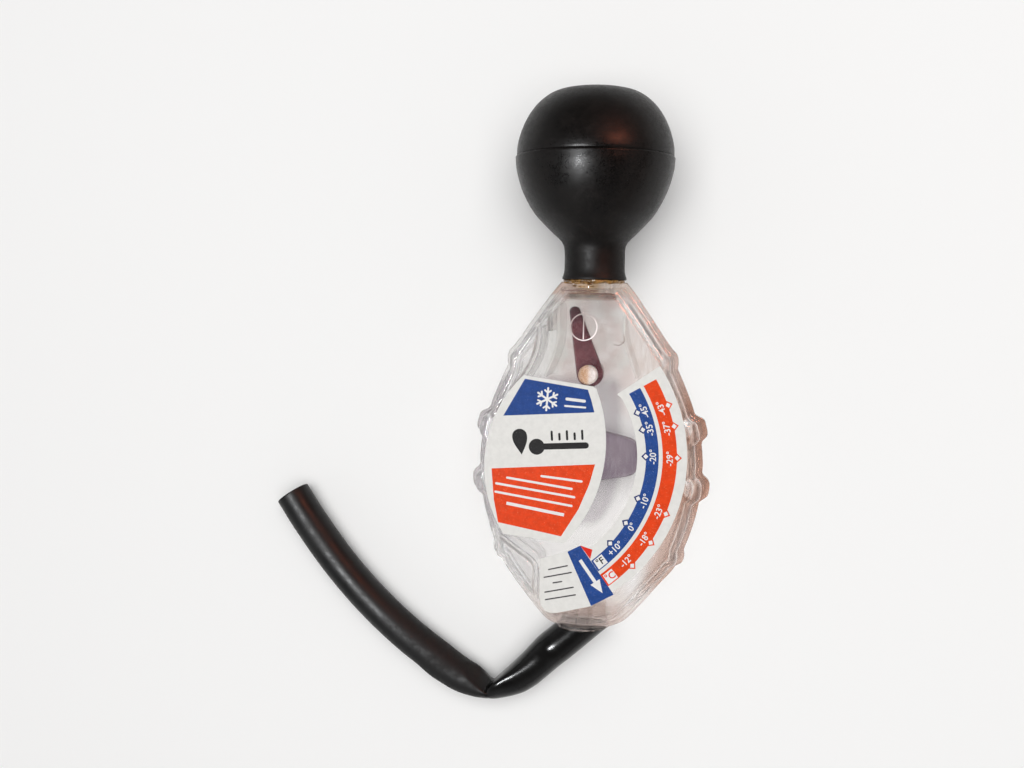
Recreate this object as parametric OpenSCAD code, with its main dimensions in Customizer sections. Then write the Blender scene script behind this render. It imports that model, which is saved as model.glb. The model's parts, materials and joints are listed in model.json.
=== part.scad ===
// Antifreeze tester lying on its back, front face up.
// A clear two-part body holds a float vane that reads against a curved
// scale and a small level pointer. A rubber bulb draws the coolant in
// through a rubber hose.
//
// Each piece of the tester itself is drawn in the tester's own frame: X to the
// right, Y along the body towards the bulb, Z out of the front panel, with the
// parting plane of the body at Z = 0. lay() then puts it down on its back, so
// that the bulb and the lower edge of the rear panel touch the surface.

/* [Clear body] */
// Distance from the parting plane to each flat panel
panel_z = 12; // [11.5:0.1:12.5]
// Thickness of the flat panels
panel_t = 1.8; // [1.5:0.1:2.1]
// Thickness of each half of the flange
flange_t = 1.5; // [1.2:0.1:1.8]
// How far the grip lugs stand out, 1 as on the real body
lug_share = 1; // [0.6:0.1:1.2]

/* [Squeeze bulb] */
// Outer radius of the bulb
bulb_r = 25.2; // [24.6:0.2:25.4]
// Rubber wall of the bulb
bulb_wall = 2.4; // [2:0.2:3]
// Outer radius of the neck
neck_r = 9.7; // [9.4:0.1:10]

/* [Collars and nipples] */
// Radius of the collar under the bulb
top_collar_r = 8.9; // [8.5:0.1:9.2]
// Radius of the collar above the hose
low_collar_r = 8.5; // [8:0.1:9]
// Bore of the nipple in the bulb's neck
top_bore_r = 5.4; // [5:0.1:5.8]
// Bore of the nipple in the hose
low_bore_r = 2.2; // [2.1:0.1:2.5]

/* [Float and pointer] */
// Thickness of the float vane
float_t = 3.8; // [3.2:0.2:3.8]
// Thickness of the level pointer
pointer_t = 3; // [2.4:0.2:3]
// Angle of the float vane at rest, 0 straight out to the right
float_angle = -1; // [-8:1:8]
// Lean of the level pointer at rest, to the left of straight up
pointer_lean = 15; // [8:1:18]
// Radius of both pivot pins
pin_r = 1.2; // [1.1:0.05:1.3]
// Running clearance between a pin and its bore
running_fit = 0.05; // [0.03:0.01:0.08]

/* [Labels] */
// Thickness of the printed stickers
label_t = 0.2; // [0.15:0.05:0.3]

/* [Hose] */
// Outer radius of the suction hose
hose_r = 5.9; // [5.5:0.1:5.9]

/* [Hidden] */
$fn = 64;

bulb_y = 91.7;           // centre of the bulb
bulb_top = 114.4;        // flat top of the bulb
top_y = 54;              // top end of the body
low_y = -57;             // lower end of the body
collar_y = -58.6;        // end face of the lower collar
rest_y = 53.2;           // lower edge of the rear panel, which rests
float_c = [-16.5, -1.7]; // pivot of the float vane, centre of the scale
level_c = [-0.2, 25.1];  // pivot of the level pointer

// How the tester lies: tilt of its long axis, height of its parting plane,
// and the shift that brings the middle of its box over the origin.
tilt0 = asin((bulb_r - panel_z) / (bulb_y + rest_y));
tilt = asin((bulb_r - panel_z * cos(tilt0)) / (bulb_y + rest_y));
lie_z = panel_z * cos(tilt) + rest_y * sin(tilt);
shift_y = -25.88;

module lay()
    translate([0, shift_y, lie_z]) rotate([tilt, 0, 0]) children();

// ---------------------------------------------------------------- outline
// Right half of the outline from the lower end up: height, half width without
// the lugs, and how far a lug stands out there.
side = [
    [-57, 9.6, 0], [-55.4, 12.8, 0], [-53, 15.4, 0],
    [-50, 18, 0], [-46, 21.3, 0], [-42, 24.4, 0], [-38, 27.2, 0],
    [-36, 28.4, 0], [-35, 29, 1.2], [-33.6, 29.7, 1.2], [-32, 30.3, 0.8],
    [-30.6, 30.8, 0.1], [-28, 31.8, 0], [-25, 32.8, 0], [-20, 34.2, 0],
    [-15.4, 35.1, 0], [-14.4, 35.3, 1.3], [-13.2, 35.5, 2.4],
    [-11.4, 35.7, 2.8], [-9, 35.8, 2.7], [-7.2, 35.9, 1.7],
    [-6, 35.9, 0.3], [-3, 36, 0], [0, 35.8, 0], [3.4, 35.4, 0],
    [4.6, 35.2, 0.8], [5.8, 34.9, 1.9], [7.4, 34.6, 2.5],
    [9.4, 34.1, 2.7], [11.2, 33.6, 2.4], [12.6, 33.1, 1.1],
    [13.4, 32.9, 0.1], [16, 32, 0], [20, 30.4, 0], [25, 28.2, 0],
    [27.2, 27.2, 0], [28.2, 26.9, 0.5], [30.6, 26.4, 0.9],
    [32, 25.8, 0.9], [33.2, 25.3, 0.2], [38, 22, 0], [42, 19.3, 0],
    [46, 16.5, 0], [50, 13.6, 0], [54, 10.4, 0]
];
n_side = len(side);
loop = concat(
    [for (s = side) [s[1], s[0], s[2]]],
    [for (i = [n_side - 1:-1:0]) [-side[i][1], side[i][0], -side[i][2]]]
);
n_loop = len(loop);
function at(i) = loop[(i + n_loop) % n_loop];
function flat2(p) = [p[0], p[1]];
function unit(v) = v / norm(v);
function edge_n(i) = let(d = unit(flat2(at(i + 1)) - flat2(at(i)))) [d[1], -d[0]];
function corner_n(i) = let(a = edge_n(i - 1), b = edge_n(i)) (a + b) / (1 + a * b);

// The outline moved in by d, with its lugs kept to a share b, at height z.
function ring(d, b, z) = [for (i = [0:n_loop - 1])
    let(p = at(i), n = corner_n(i))
    [p[0] - d * n[0] + p[2] * b * lug_share, p[1] - d * n[1], z]];

// Inset, lug share and height of each ring, up the outside and down the inside.
levels = [
    [0, 1, 0], [0, 1, flange_t], [1.3, 0.95, flange_t + 0.2],
    [2.1, 0.85, panel_z - 2.4], [2.8, 0.75, panel_z - 0.7],
    [3.8, 0.6, panel_z],
    [5, 0.55, panel_z - panel_t], [4.2, 0.7, panel_z - panel_t - 1.2],
    [3.5, 0.8, flange_t], [3.4, 0.85, 0]
];
n_out = 6;
n_ring = len(levels);

module half_shell() {
    pts = concat(
        [for (l = levels) each ring(l[0], l[1], l[2])],
        [[0, 0, levels[n_out - 1][2]], [0, 0, levels[n_out][2]]]
    );
    c_out = n_ring * n_loop;
    c_in = c_out + 1;
    function id(k, i) = (k % n_ring) * n_loop + (i % n_loop);
    skin = [for (k = [0:n_ring - 1]) if (k != n_out - 1)
        for (i = [0:n_loop - 1]) each [
            [id(k, i), id(k + 1, i), id(k + 1, i + 1)],
            [id(k, i), id(k + 1, i + 1), id(k, i + 1)]
        ]];
    top = [for (i = [0:n_loop - 1]) [id(n_out - 1, i + 1), id(n_out - 1, i), c_out]];
    roof = [for (i = [0:n_loop - 1]) [id(n_out, i), id(n_out, i + 1), c_in]];
    polyhedron(points = pts, faces = concat(skin, top, roof), convexity = 6);
}

// ------------------------------------------------------- collars, nipples
// Turns a profile of [radius, height] points about the tester's long axis.
module turned(profile, x = 0)
    translate([x, 0, 0]) rotate([-90, 0, 0]) rotate_extrude() polygon(profile);

module end_solids() {
    turned([
        [0, 48.6], [7.9, 48.6], [7.9, 52], [top_collar_r, 52],
        [top_collar_r, top_y],
        [7.5, top_y], [7.5, 55.6], [8, 56.2], [7.5, 58.2], [8, 58.8],
        [7.5, 60.8], [8, 61.4], [7.1, 64], [0, 64]
    ]);
    turned([
        [0, -49.6], [7.4, -49.6], [7.4, -55], [low_collar_r, -55],
        [low_collar_r, collar_y],
        [3.4, collar_y], [3.4, -61], [3.8, -61.4], [3.2, -63], [0, -63]
    ], -1);
}

module end_bores() {
    translate([0, 45, 0]) rotate([-90, 0, 0]) cylinder(r = top_bore_r, h = 25);
    translate([-1, -66, 0]) rotate([-90, 0, 0]) cylinder(r = low_bore_r, h = 20);
}

module upper_half() translate([-60, -80, 0]) cube([120, 160, 40]);

// ------------------------------------------------------------ clear shells
// The ring and upright line moulded into the front panel, under which the
// level pointer stands when the tester is held straight.
module level_mark() {
    translate([-1.7, 40, panel_z - 0.25]) difference() {
        cylinder(r = 4.3, h = 1);
        translate([0, 0, -1]) cylinder(r = 3.8, h = 3);
    }
    translate([-2, 36.2, panel_z - 0.25]) cube([0.5, 6.8, 1]);
}

module front_shell() color([0.86, 0.80, 0.79, 0.35]) difference() {
    union() {
        half_shell();
        intersection() { end_solids(); upper_half(); }
        translate([float_c[0], float_c[1], -1.8])
            cylinder(r = 3.1, h = panel_z + 1.4);
    }
    end_bores();
    level_mark();
    translate([float_c[0], float_c[1], -2]) cylinder(r = pin_r, h = 7);
}

// One guide rib: a wall 1.2 thick that follows these points.
rib_path = [[10.2, 47], [10.2, 38], [10.8, 33], [12.2, 28.6], [14.2, 24]];
function rib_n(i) = let(
    a = unit(rib_path[max(i, 1)] - rib_path[max(i, 1) - 1]),
    b = unit(rib_path[min(i + 1, len(rib_path) - 1)] - rib_path[min(i, len(rib_path) - 2)]),
    d = unit(a + b)) [d[1], -d[0]];
module guide_rib() linear_extrude(panel_z - panel_t + 7.6) polygon(concat(
    [for (i = [0:len(rib_path) - 1]) rib_path[i] + 0.6 * rib_n(i)],
    [for (i = [len(rib_path) - 1:-1:0]) rib_path[i] - 0.6 * rib_n(i)]
));

module rear_shell() color([0.86, 0.80, 0.79, 0.35]) difference() {
    union() {
        mirror([0, 0, 1]) half_shell();
        intersection() { end_solids(); mirror([0, 0, 1]) upper_half(); }
        for (m = [0, 1]) mirror([m, 0, 0])
            translate([0, 0, -panel_z + panel_t - 0.2]) guide_rib();
        translate([float_c[0], float_c[1], -panel_z + panel_t - 0.2])
            cylinder(r = 3.1, h = panel_z - panel_t - 6.2);
        translate([level_c[0], level_c[1], -panel_z + panel_t - 0.2])
            cylinder(r = 3.2, h = panel_z - panel_t + 1.8);
    }
    end_bores();
    translate([float_c[0], float_c[1], -panel_z + 1]) cylinder(r = pin_r, h = 9);
    translate([level_c[0], level_c[1], -panel_z + 3]) cylinder(r = pin_r, h = 14);
}

// ---------------------------------------------------------- rubber, cement
module squeeze_bulb() color([0.12, 0.11, 0.11]) {
    inner = bulb_r - bulb_wall;
    turned(concat(
        [[8.05, 54.7], [10.2, 54.7], [10.3, 55.2], [9.9, 57],
         [neck_r, 59.5], [neck_r, 64], [neck_r + 0.25, 65.6],
         [neck_r + 1, 67.3], [neck_r + 2.7, 69.2]],
        [for (a = [-52:6:-4]) [bulb_r * cos(a), bulb_y + bulb_r * sin(a)]],
        [[bulb_r, bulb_y], [bulb_r - 0.05, bulb_y + 1], [bulb_r + 0.2, bulb_y + 1.2],
         [bulb_r + 0.2, bulb_y + 1.7], [bulb_r - 0.15, bulb_y + 1.9]],
        [for (a = [8:6:56]) [(bulb_r - 0.15) * cos(a), bulb_y + (bulb_r - 0.1) * sin(a)]],
        [[12.3, 113.55], [10.6, 114.25], [9.4, bulb_top], [0, bulb_top],
         [0, bulb_y + inner - 1.6]],
        [for (a = [78:-6:-66]) [inner * cos(a), bulb_y + (inner - 1.6) * sin(a)]],
        [[8.05, 68.4]]
    ));
}

module neck_cement() color([0.62, 0.45, 0.16]) turned([
    [7.5, top_y], [9.6, top_y], [10, top_y + 0.3], [9.8, 54.7], [7.5, 54.7]
]);

// -------------------------------------------------------- floats and pins
// Half outline of the float vane: distance from its pivot, half width.
vane = [
    [4, 3.4], [8, 5.4], [12, 7.2], [16, 8.1], [20, 8], [24, 7.2],
    [28, 6.1], [30, 5], [31.2, 3.7], [31.7, 2.2]
];
module reading_float() color([0.42, 0.36, 0.42])
    translate([float_c[0], float_c[1], -2.2 - float_t])
    rotate([0, 0, float_angle]) difference() {
        union() {
            cylinder(r = 4.4, h = float_t);
            linear_extrude(float_t) polygon(concat(
                [for (p = vane) [p[0], -p[1]]],
                [for (i = [len(vane) - 1:-1:0]) vane[i]],
                [[0, 3.4], [0, -3.4]]
            ));
            translate([-8.6, 0, 0]) cylinder(r = 3.4, h = float_t);
            translate([-8.6, -2.2, 0]) cube([8.6, 4.4, float_t]);
        }
        translate([0, 0, -1]) cylinder(r = pin_r + running_fit, h = float_t + 2);
        translate([-8.6, 0, -1]) cylinder(r = 2.1, h = float_t + 2);
    }

module float_weight() color([0.6, 0.6, 0.62])
    translate([float_c[0], float_c[1], -2.2 - float_t])
    rotate([0, 0, float_angle]) translate([-8.6, 0, 0.2])
    cylinder(r = 2.1, h = float_t - 0.4);

module float_pivot_pin() color([0.75, 0.62, 0.35])
    translate([float_c[0], float_c[1], -panel_z + 1.2])
    cylinder(r = pin_r, h = panel_z + 3.6);

module level_pointer() color([0.36, 0.13, 0.17])
    translate([level_c[0], level_c[1], 2]) rotate([0, 0, pointer_lean])
    difference() {
        union() {
            cylinder(r = 4.2, h = pointer_t);
            translate([0, 20.2, 0]) cylinder(r = 1.65, h = pointer_t);
            linear_extrude(pointer_t) polygon([
                [-4.17, 0.53], [4.17, 0.53], [1.64, 20.41], [-1.64, 20.41]
            ]);
        }
        translate([0, 0, -1]) cylinder(r = pin_r + running_fit, h = pointer_t + 2);
    }

module level_pivot_pin() color([0.78, 0.60, 0.30])
    translate([level_c[0], level_c[1], -panel_z + 3.2])
    rotate_extrude() polygon([
        [0, 0], [pin_r, 0], [pin_r, panel_z + 2.2], [2, panel_z + 2.2],
        [2, panel_z + 5.1], [3.05, panel_z + 5.4],
        [3.05, 2 * panel_z - panel_t - 3.2], [0, 2 * panel_z - panel_t - 3.2]
    ]);

// ------------------------------------------------------------------ labels
// Points of the arc that runs from a through b to c.
function circum(a, b, c) = let(
    d = 2 * (a[0] * (b[1] - c[1]) + b[0] * (c[1] - a[1]) + c[0] * (a[1] - b[1])),
    a2 = a * a, b2 = b * b, c2 = c * c)
    [(a2 * (b[1] - c[1]) + b2 * (c[1] - a[1]) + c2 * (a[1] - b[1])) / d,
     (a2 * (c[0] - b[0]) + b2 * (a[0] - c[0]) + c2 * (b[0] - a[0])) / d];
function turn(a) = a > 180 ? a - 360 : a < -180 ? a + 360 : a;
function arc3(a, b, c, n) = let(
    o = circum(a, b, c), r = norm(a - o),
    a0 = atan2(a[1] - o[1], a[0] - o[0]), a1 = atan2(c[1] - o[1], c[0] - o[0]),
    sweep = turn(a1 - a0))
    [for (k = [0:n]) o + r * [cos(a0 + sweep * k / n), sin(a0 + sweep * k / n)]];
function polar(r, a) = float_c + r * [cos(a), sin(a)];

module main_label() color([0.93, 0.92, 0.90])
    translate([0, 0, panel_z]) linear_extrude(label_t) polygon(concat(
        [[-20.2, 24.5], [1.6, 21.7]],
        arc3([2.7, 21], [6.1, 1.5], [-6.3, -28.2], 24),
        [[-25.9, -26.3]],
        arc3([-26.1, -26], [-32.4, -5], [-20.6, 24.2], 24)
    ));

module scale_label() color([0.94, 0.94, 0.93])
    translate([0, 0, panel_z]) linear_extrude(label_t) polygon(concat(
        [for (a = [-58:3.25:39.5]) polar(48.5, a)],
        [for (a = [39.5:-3.4:-55.7]) polar(33.1, a)],
        [[-1.2, -28.6], [-5.3, -30.9], [-14.5, -33.8], [-14.7, -46],
         [-14.2, -48.6], [-12.9, -50.4], [-11, -51], [-9, -50.9],
         [2.7, -47.4]]
    ));

// -------------------------------------------------------------------- hose
// The middle of the hose, from the collar round the kink to its cut end, as it
// lies on the surface: X, Y before the shift, and height.
route = [
    [-2, -58.4, 11.3], [-6.5, -63.2, 10.5], [-11.5, -68.2, 9.5],
    [-16.5, -72.8, 8.3], [-21.5, -76.3, 7.4], [-27, -78.8, 6.7],
    [-32.5, -79.8, 6.3], [-37.5, -79.3, 6], [-44.5, -76.6, 6],
    [-52, -72.6, 6], [-60.5, -67, 6], [-69.5, -60, 6],
    [-78, -52.4, 6], [-86, -44.2, 6], [-93.5, -35.4, 6],
    [-99.5, -27.7, 6], [-105, -20, 6]
];
n_route = len(route);
hose_sides = 12;
function along(i) = unit(
    unit(route[min(i + 1, n_route - 1)] - route[min(i, n_route - 2)]) +
    unit(route[max(i, 1)] - route[max(i, 1) - 1]));
function round_at(i) = let(
    t = along(i), s = unit(cross(t, [0, 0, 1])), u = cross(s, t))
    [for (k = [0:hose_sides - 1])
        route[i] + hose_r * (s * cos(360 * k / hose_sides) + u * sin(360 * k / hose_sides))];
// The first ring is cut along the collar's end face, where the hose bends away.
face_n = [0, cos(tilt), sin(tilt)];
face_d = collar_y + lie_z * sin(tilt);
function on_face(p, t) = p + t * ((face_d - face_n * p) / (face_n * t));

module suction_hose() {
    rings = [for (i = [0:n_route - 1])
        i == 0 ? [for (p = round_at(0)) on_face(p, along(0))] : round_at(i)];
    pts = [for (r = rings) each r];
    function id(i, k) = i * hose_sides + k % hose_sides;
    color([0.07, 0.07, 0.07]) translate([0, shift_y, 0])
    polyhedron(points = pts, faces = concat(
        [[for (k = [hose_sides - 1:-1:0]) id(0, k)]],
        [for (i = [0:n_route - 2]) for (k = [0:hose_sides - 1]) each [
            [id(i, k), id(i, k + 1), id(i + 1, k + 1)],
            [id(i, k), id(i + 1, k + 1), id(i + 1, k)]]],
        [[for (k = [0:hose_sides - 1]) id(n_route - 1, k)]]
    ), convexity = 4);
}

lay() squeeze_bulb();
lay() neck_cement();
lay() front_shell();
lay() rear_shell();
lay() level_pointer();
lay() level_pivot_pin();
lay() reading_float();
lay() float_weight();
lay() float_pivot_pin();
lay() main_label();
lay() scale_label();
suction_hose();
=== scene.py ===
import json
import math

import bmesh
import bpy
import numpy as np
from mathutils import Matrix, Vector, noise

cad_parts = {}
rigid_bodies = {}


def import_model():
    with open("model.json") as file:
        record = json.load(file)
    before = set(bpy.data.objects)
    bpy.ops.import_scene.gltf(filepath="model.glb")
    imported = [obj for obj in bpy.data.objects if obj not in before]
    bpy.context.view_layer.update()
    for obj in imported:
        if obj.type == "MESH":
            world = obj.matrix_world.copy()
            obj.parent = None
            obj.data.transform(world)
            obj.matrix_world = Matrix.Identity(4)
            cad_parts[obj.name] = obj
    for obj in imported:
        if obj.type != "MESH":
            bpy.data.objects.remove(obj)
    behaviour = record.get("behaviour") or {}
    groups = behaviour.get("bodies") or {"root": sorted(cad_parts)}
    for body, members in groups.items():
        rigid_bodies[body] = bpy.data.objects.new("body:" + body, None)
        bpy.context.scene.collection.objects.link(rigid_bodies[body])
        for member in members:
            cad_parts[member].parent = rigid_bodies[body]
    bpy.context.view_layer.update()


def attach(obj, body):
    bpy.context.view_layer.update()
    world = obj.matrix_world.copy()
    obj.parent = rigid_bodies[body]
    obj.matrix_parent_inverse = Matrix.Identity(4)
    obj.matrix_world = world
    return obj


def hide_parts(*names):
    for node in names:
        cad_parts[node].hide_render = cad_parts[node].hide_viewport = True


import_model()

# ---------------------------------------------------------------- frames
# The tester is built in its own frame, in millimetres: X to the right, Y along
# the body towards the bulb, Z out of the front panel, parting plane at Z = 0.
# It then lies on its back, tilted by TILT, as part.scad lays it down.
BULB_R, PANEL_Z, BULB_Y, REST_Y = 25.2, 12.0, 91.7, 53.2
_t0 = math.asin((BULB_R - PANEL_Z) / (BULB_Y + REST_Y))
TILT = math.asin((BULB_R - PANEL_Z * math.cos(_t0)) / (BULB_Y + REST_Y))
TC, TS = math.cos(TILT), math.sin(TILT)
LIE_Z = PANEL_Z * TC + REST_Y * TS
SHIFT_Y = -25.88
FLOAT_C = (-16.5, -1.7)
LEVEL_C = (-0.2, 25.1)
LEAN = 15.0
FLOAT_A = -1.0

ROW = np.array([[1, 0, 0], [0, TC, -TS], [0, TS, TC]])
LIE = np.array([0.0, SHIFT_Y, LIE_Z])


def to_row(p):
    """Points in the tester's own frame, in mm, as points of the row frame in metres."""
    return (np.asarray(p, float).reshape(-1, 3) @ ROW.T + LIE) * 0.001


# ---------------------------------------------------------------- camera
scene = bpy.context.scene
cam_data = bpy.data.cameras.new("photo_camera")
cam_data.sensor_width = 36.0
cam_data.sensor_fit = "HORIZONTAL"
cam_data.lens = 38.145
cam_data.clip_start, cam_data.clip_end = 0.01, 50.0
cam = bpy.data.objects.new("photo_camera", cam_data)
scene.collection.objects.link(cam)
RIGHT = Vector((0.98372, 0.03444, -0.17636)).normalized()
FORWARD = Vector((-0.17666, 0.00593, -0.98425)).normalized()
UP = RIGHT.cross(FORWARD).normalized()
RIGHT = FORWARD.cross(UP).normalized()
cam.matrix_world = Matrix((
    (RIGHT.x, UP.x, -FORWARD.x, 0.0364),
    (RIGHT.y, UP.y, -FORWARD.y, -0.0075),
    (RIGHT.z, UP.z, -FORWARD.z, 0.3668),
    (0, 0, 0, 1),
))
scene.camera = cam


# ---------------------------------------------------------------- helpers
def catmull(points, spacing, closed=False):
    """A smooth line through the points, resampled at about that spacing."""
    p = np.asarray(points, float)
    n = len(p)
    out = []
    count = n if closed else n - 1
    for i in range(count):
        if closed:
            a, b, c, d = p[(i - 1) % n], p[i], p[(i + 1) % n], p[(i + 2) % n]
        else:
            b, c = p[i], p[i + 1]
            a = p[i - 1] if i > 0 else 2 * b - c
            d = p[i + 2] if i + 2 < n else 2 * c - b
        k = min(3, p.shape[1])
        t0 = 0.0
        t1 = t0 + max(np.linalg.norm((b - a)[:k]) ** 0.5, 1e-6)
        t2 = t1 + max(np.linalg.norm((c - b)[:k]) ** 0.5, 1e-6)
        t3 = t2 + max(np.linalg.norm((d - c)[:k]) ** 0.5, 1e-6)
        steps = max(1, int(round(np.linalg.norm((c - b)[:k]) / spacing)))
        for s in range(steps):
            t = t1 + (t2 - t1) * s / steps
            a1 = (t1 - t) / (t1 - t0) * a + (t - t0) / (t1 - t0) * b
            a2 = (t2 - t) / (t2 - t1) * b + (t - t1) / (t2 - t1) * c
            a3 = (t3 - t) / (t3 - t2) * c + (t - t2) / (t3 - t2) * d
            b1 = (t2 - t) / (t2 - t0) * a1 + (t - t0) / (t2 - t0) * a2
            b2 = (t3 - t) / (t3 - t1) * a2 + (t - t1) / (t3 - t1) * a3
            out.append((t2 - t) / (t2 - t1) * b1 + (t - t1) / (t2 - t1) * b2)
    if not closed:
        out.append(p[-1])
    return np.array(out)


def mesh_of(name, verts, faces, flip_check=True):
    me = bpy.data.meshes.new(name)
    me.from_pydata([tuple(map(float, v)) for v in verts], [], faces)
    me.update()
    if flip_check:
        bm = bmesh.new()
        bm.from_mesh(me)
        bmesh.ops.remove_doubles(bm, verts=bm.verts, dist=1e-5)
        bmesh.ops.recalc_face_normals(bm, faces=bm.faces)
        bm.to_mesh(me)
        bm.free()
    return me


def scratch(name, verts, faces):
    """A helper object in mm, for booleans; never shown."""
    o = bpy.data.objects.new(name, mesh_of(name, verts, faces))
    scene.collection.objects.link(o)
    return o


def boolean(target, tool, op, solver="MANIFOLD"):
    m = target.modifiers.new("cut", "BOOLEAN")
    m.operation = op
    m.solver = solver
    m.object = tool
    dg = bpy.context.evaluated_depsgraph_get()
    me = bpy.data.meshes.new_from_object(target.evaluated_get(dg))
    target.modifiers.clear()
    old = target.data
    target.data = me
    bpy.data.meshes.remove(old)
    gone = tool.data
    bpy.data.objects.remove(tool)
    bpy.data.meshes.remove(gone)
    return target


def settle(me, where, angle):
    """Mesh in mm to the row frame in metres, shaded smooth up to that angle."""
    co = np.zeros(len(me.vertices) * 3)
    me.vertices.foreach_get("co", co)
    co = co.reshape(-1, 3)
    co = to_row(co) if where == "tester" else co * 0.001
    me.vertices.foreach_set("co", co.astype(np.float32).ravel())
    me.polygons.foreach_set("use_smooth", np.ones(len(me.polygons), bool))
    me.update()
    me.set_sharp_from_angle(angle=math.radians(angle))
    return me


def piece(name, me, mats, body, replaces=(), where="tester", angle=32, flats=False):
    if name.startswith("clear_"):
        # the booleans leave a few edges shorter than a micrometre
        bm = bmesh.new()
        bm.from_mesh(me)
        bmesh.ops.dissolve_degenerate(bm, dist=0.0004, edges=bm.edges)
        bm.to_mesh(me)
        bm.free()
    settle(me, where, angle)
    o = bpy.data.objects.new(name, me)
    scene.collection.objects.link(o)
    if flats:
        # large flat faces keep their own normal where they meet small rounded ones
        w = o.modifiers.new("flats", "WEIGHTED_NORMAL")
        w.mode = "FACE_AREA"
        w.weight = 60
        w.keep_sharp = True
        dg = bpy.context.evaluated_depsgraph_get()
        new = bpy.data.meshes.new_from_object(o.evaluated_get(dg), preserve_all_data_layers=True, depsgraph=dg)
        o.modifiers.clear()
        o.data = new
        bpy.data.meshes.remove(me)
        me = new
    if not isinstance(mats, (list, tuple)):
        mats = [mats]
    me.materials.clear()
    for m in mats:
        me.materials.append(m)
    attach(o, body)
    if replaces:
        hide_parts(*replaces)
    return o


def bridge(rings, closed=True, cap_first=False, cap_last=False, loop=False):
    """Vertices and quads of rings of equal length, one after another."""
    n = len(rings[0])
    verts = [tuple(p) for r in rings for p in r]
    faces = []
    m = len(rings)
    for i in range(m if loop else m - 1):
        a, b = i * n, ((i + 1) % m) * n
        for k in range(n if closed else n - 1):
            k2 = (k + 1) % n
            faces.append((a + k, a + k2, b + k2, b + k))
    if cap_first:
        faces.append(tuple(range(n - 1, -1, -1)))
    if cap_last:
        faces.append(tuple((m - 1) * n + k for k in range(n)))
    return verts, faces


def lathe(profile, x=0.0, sides=96, axis="Y", centre=(0, 0), wobble=None):
    """Turns a closed profile of (radius, height) points about an axis. Radius 0 is a pole."""
    verts, faces, rows = [], [], []
    for r, h in profile:
        if r < 1e-6:
            rows.append([len(verts)])
            p = (x, h, 0) if axis == "Y" else (centre[0], centre[1], h)
            verts.append(p)
        else:
            row = []
            for k in range(sides):
                a = 2 * math.pi * k / sides
                rr = r + (wobble(r, h, a) if wobble else 0.0)
                if axis == "Y":
                    p = (x + rr * math.cos(a), h, rr * math.sin(a))
                else:
                    p = (centre[0] + rr * math.cos(a), centre[1] + rr * math.sin(a), h)
                row.append(len(verts))
                verts.append(p)
            rows.append(row)
    m = len(rows)
    for i in range(m):
        a, b = rows[i], rows[(i + 1) % m]
        if len(a) == 1 and len(b) == 1:
            continue
        for k in range(sides):
            k2 = (k + 1) % sides
            if len(a) == 1:
                faces.append((a[0], b[k2], b[k]))
            elif len(b) == 1:
                faces.append((a[k], a[k2], b[0]))
            else:
                faces.append((a[k], a[k2], b[k2], b[k]))
    return verts, faces


def rounded(profile, radius, steps=4):
    """A closed profile with its corners rounded. radius is a number, or one for each corner."""
    p = [np.array(q, float) for q in profile]
    n = len(p)
    out = []
    for i in range(n):
        r = radius[i] if isinstance(radius, (list, tuple)) else radius
        a, b, c = p[i - 1], p[i], p[(i + 1) % n]
        u, v = a - b, c - b
        lu, lv = np.linalg.norm(u), np.linalg.norm(v)
        if r <= 0 or lu < 1e-9 or lv < 1e-9 or b[0] < 1e-6:
            out.append(tuple(b))
            continue
        d = min(r, lu * 0.45, lv * 0.45)
        s, e = b + u / lu * d, b + v / lv * d
        for k in range(steps + 1):
            t = k / steps
            out.append(tuple((1 - t) ** 2 * s + 2 * t * (1 - t) * b + t * t * e))
    return out


def plate(outline, z0, z1, bevel=0.0):
    """A flat closed piece from an outline, in mm, with its upper edge eased by bevel."""
    p = np.asarray(outline, float)
    area = 0.5 * np.sum(p[:, 0] * np.roll(p[:, 1], -1) - np.roll(p[:, 0], -1) * p[:, 1])
    if area < 0:
        p = p[::-1]
    n = len(p)

    def inset(d):
        a = p - np.roll(p, 1, 0)
        b = np.roll(p, -1, 0) - p
        a /= np.maximum(np.linalg.norm(a, axis=1), 1e-9)[:, None]
        b /= np.maximum(np.linalg.norm(b, axis=1), 1e-9)[:, None]
        na, nb = np.c_[a[:, 1], -a[:, 0]], np.c_[b[:, 1], -b[:, 0]]
        m = (na + nb) / np.maximum(1 + (na * nb).sum(1), 0.3)[:, None]
        return p - m * d

    levels = [(0.0, z0), (0.0, z1 - bevel)] + ([(bevel, z1)] if bevel else [])
    if not bevel:
        levels = [(0.0, z0), (0.0, z1)]
    rings = [np.c_[inset(d) if d else p, np.full(n, z)] for d, z in levels]
    return bridge(rings, cap_first=True, cap_last=True)


def join_meshes(parts):
    verts, faces = [], []
    for v, f in parts:
        k = len(verts)
        verts += [tuple(q) for q in v]
        faces += [tuple(i + k for i in q) for q in f]
    return verts, faces


def polar(r, a, c=FLOAT_C):
    return (c[0] + r * math.cos(math.radians(a)), c[1] + r * math.sin(math.radians(a)))


def arc(r, a0, a1, step=1.0, c=FLOAT_C):
    n = max(2, int(abs(a1 - a0) / step) + 1)
    return [polar(r, a0 + (a1 - a0) * k / (n - 1), c) for k in range(n)]


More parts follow.
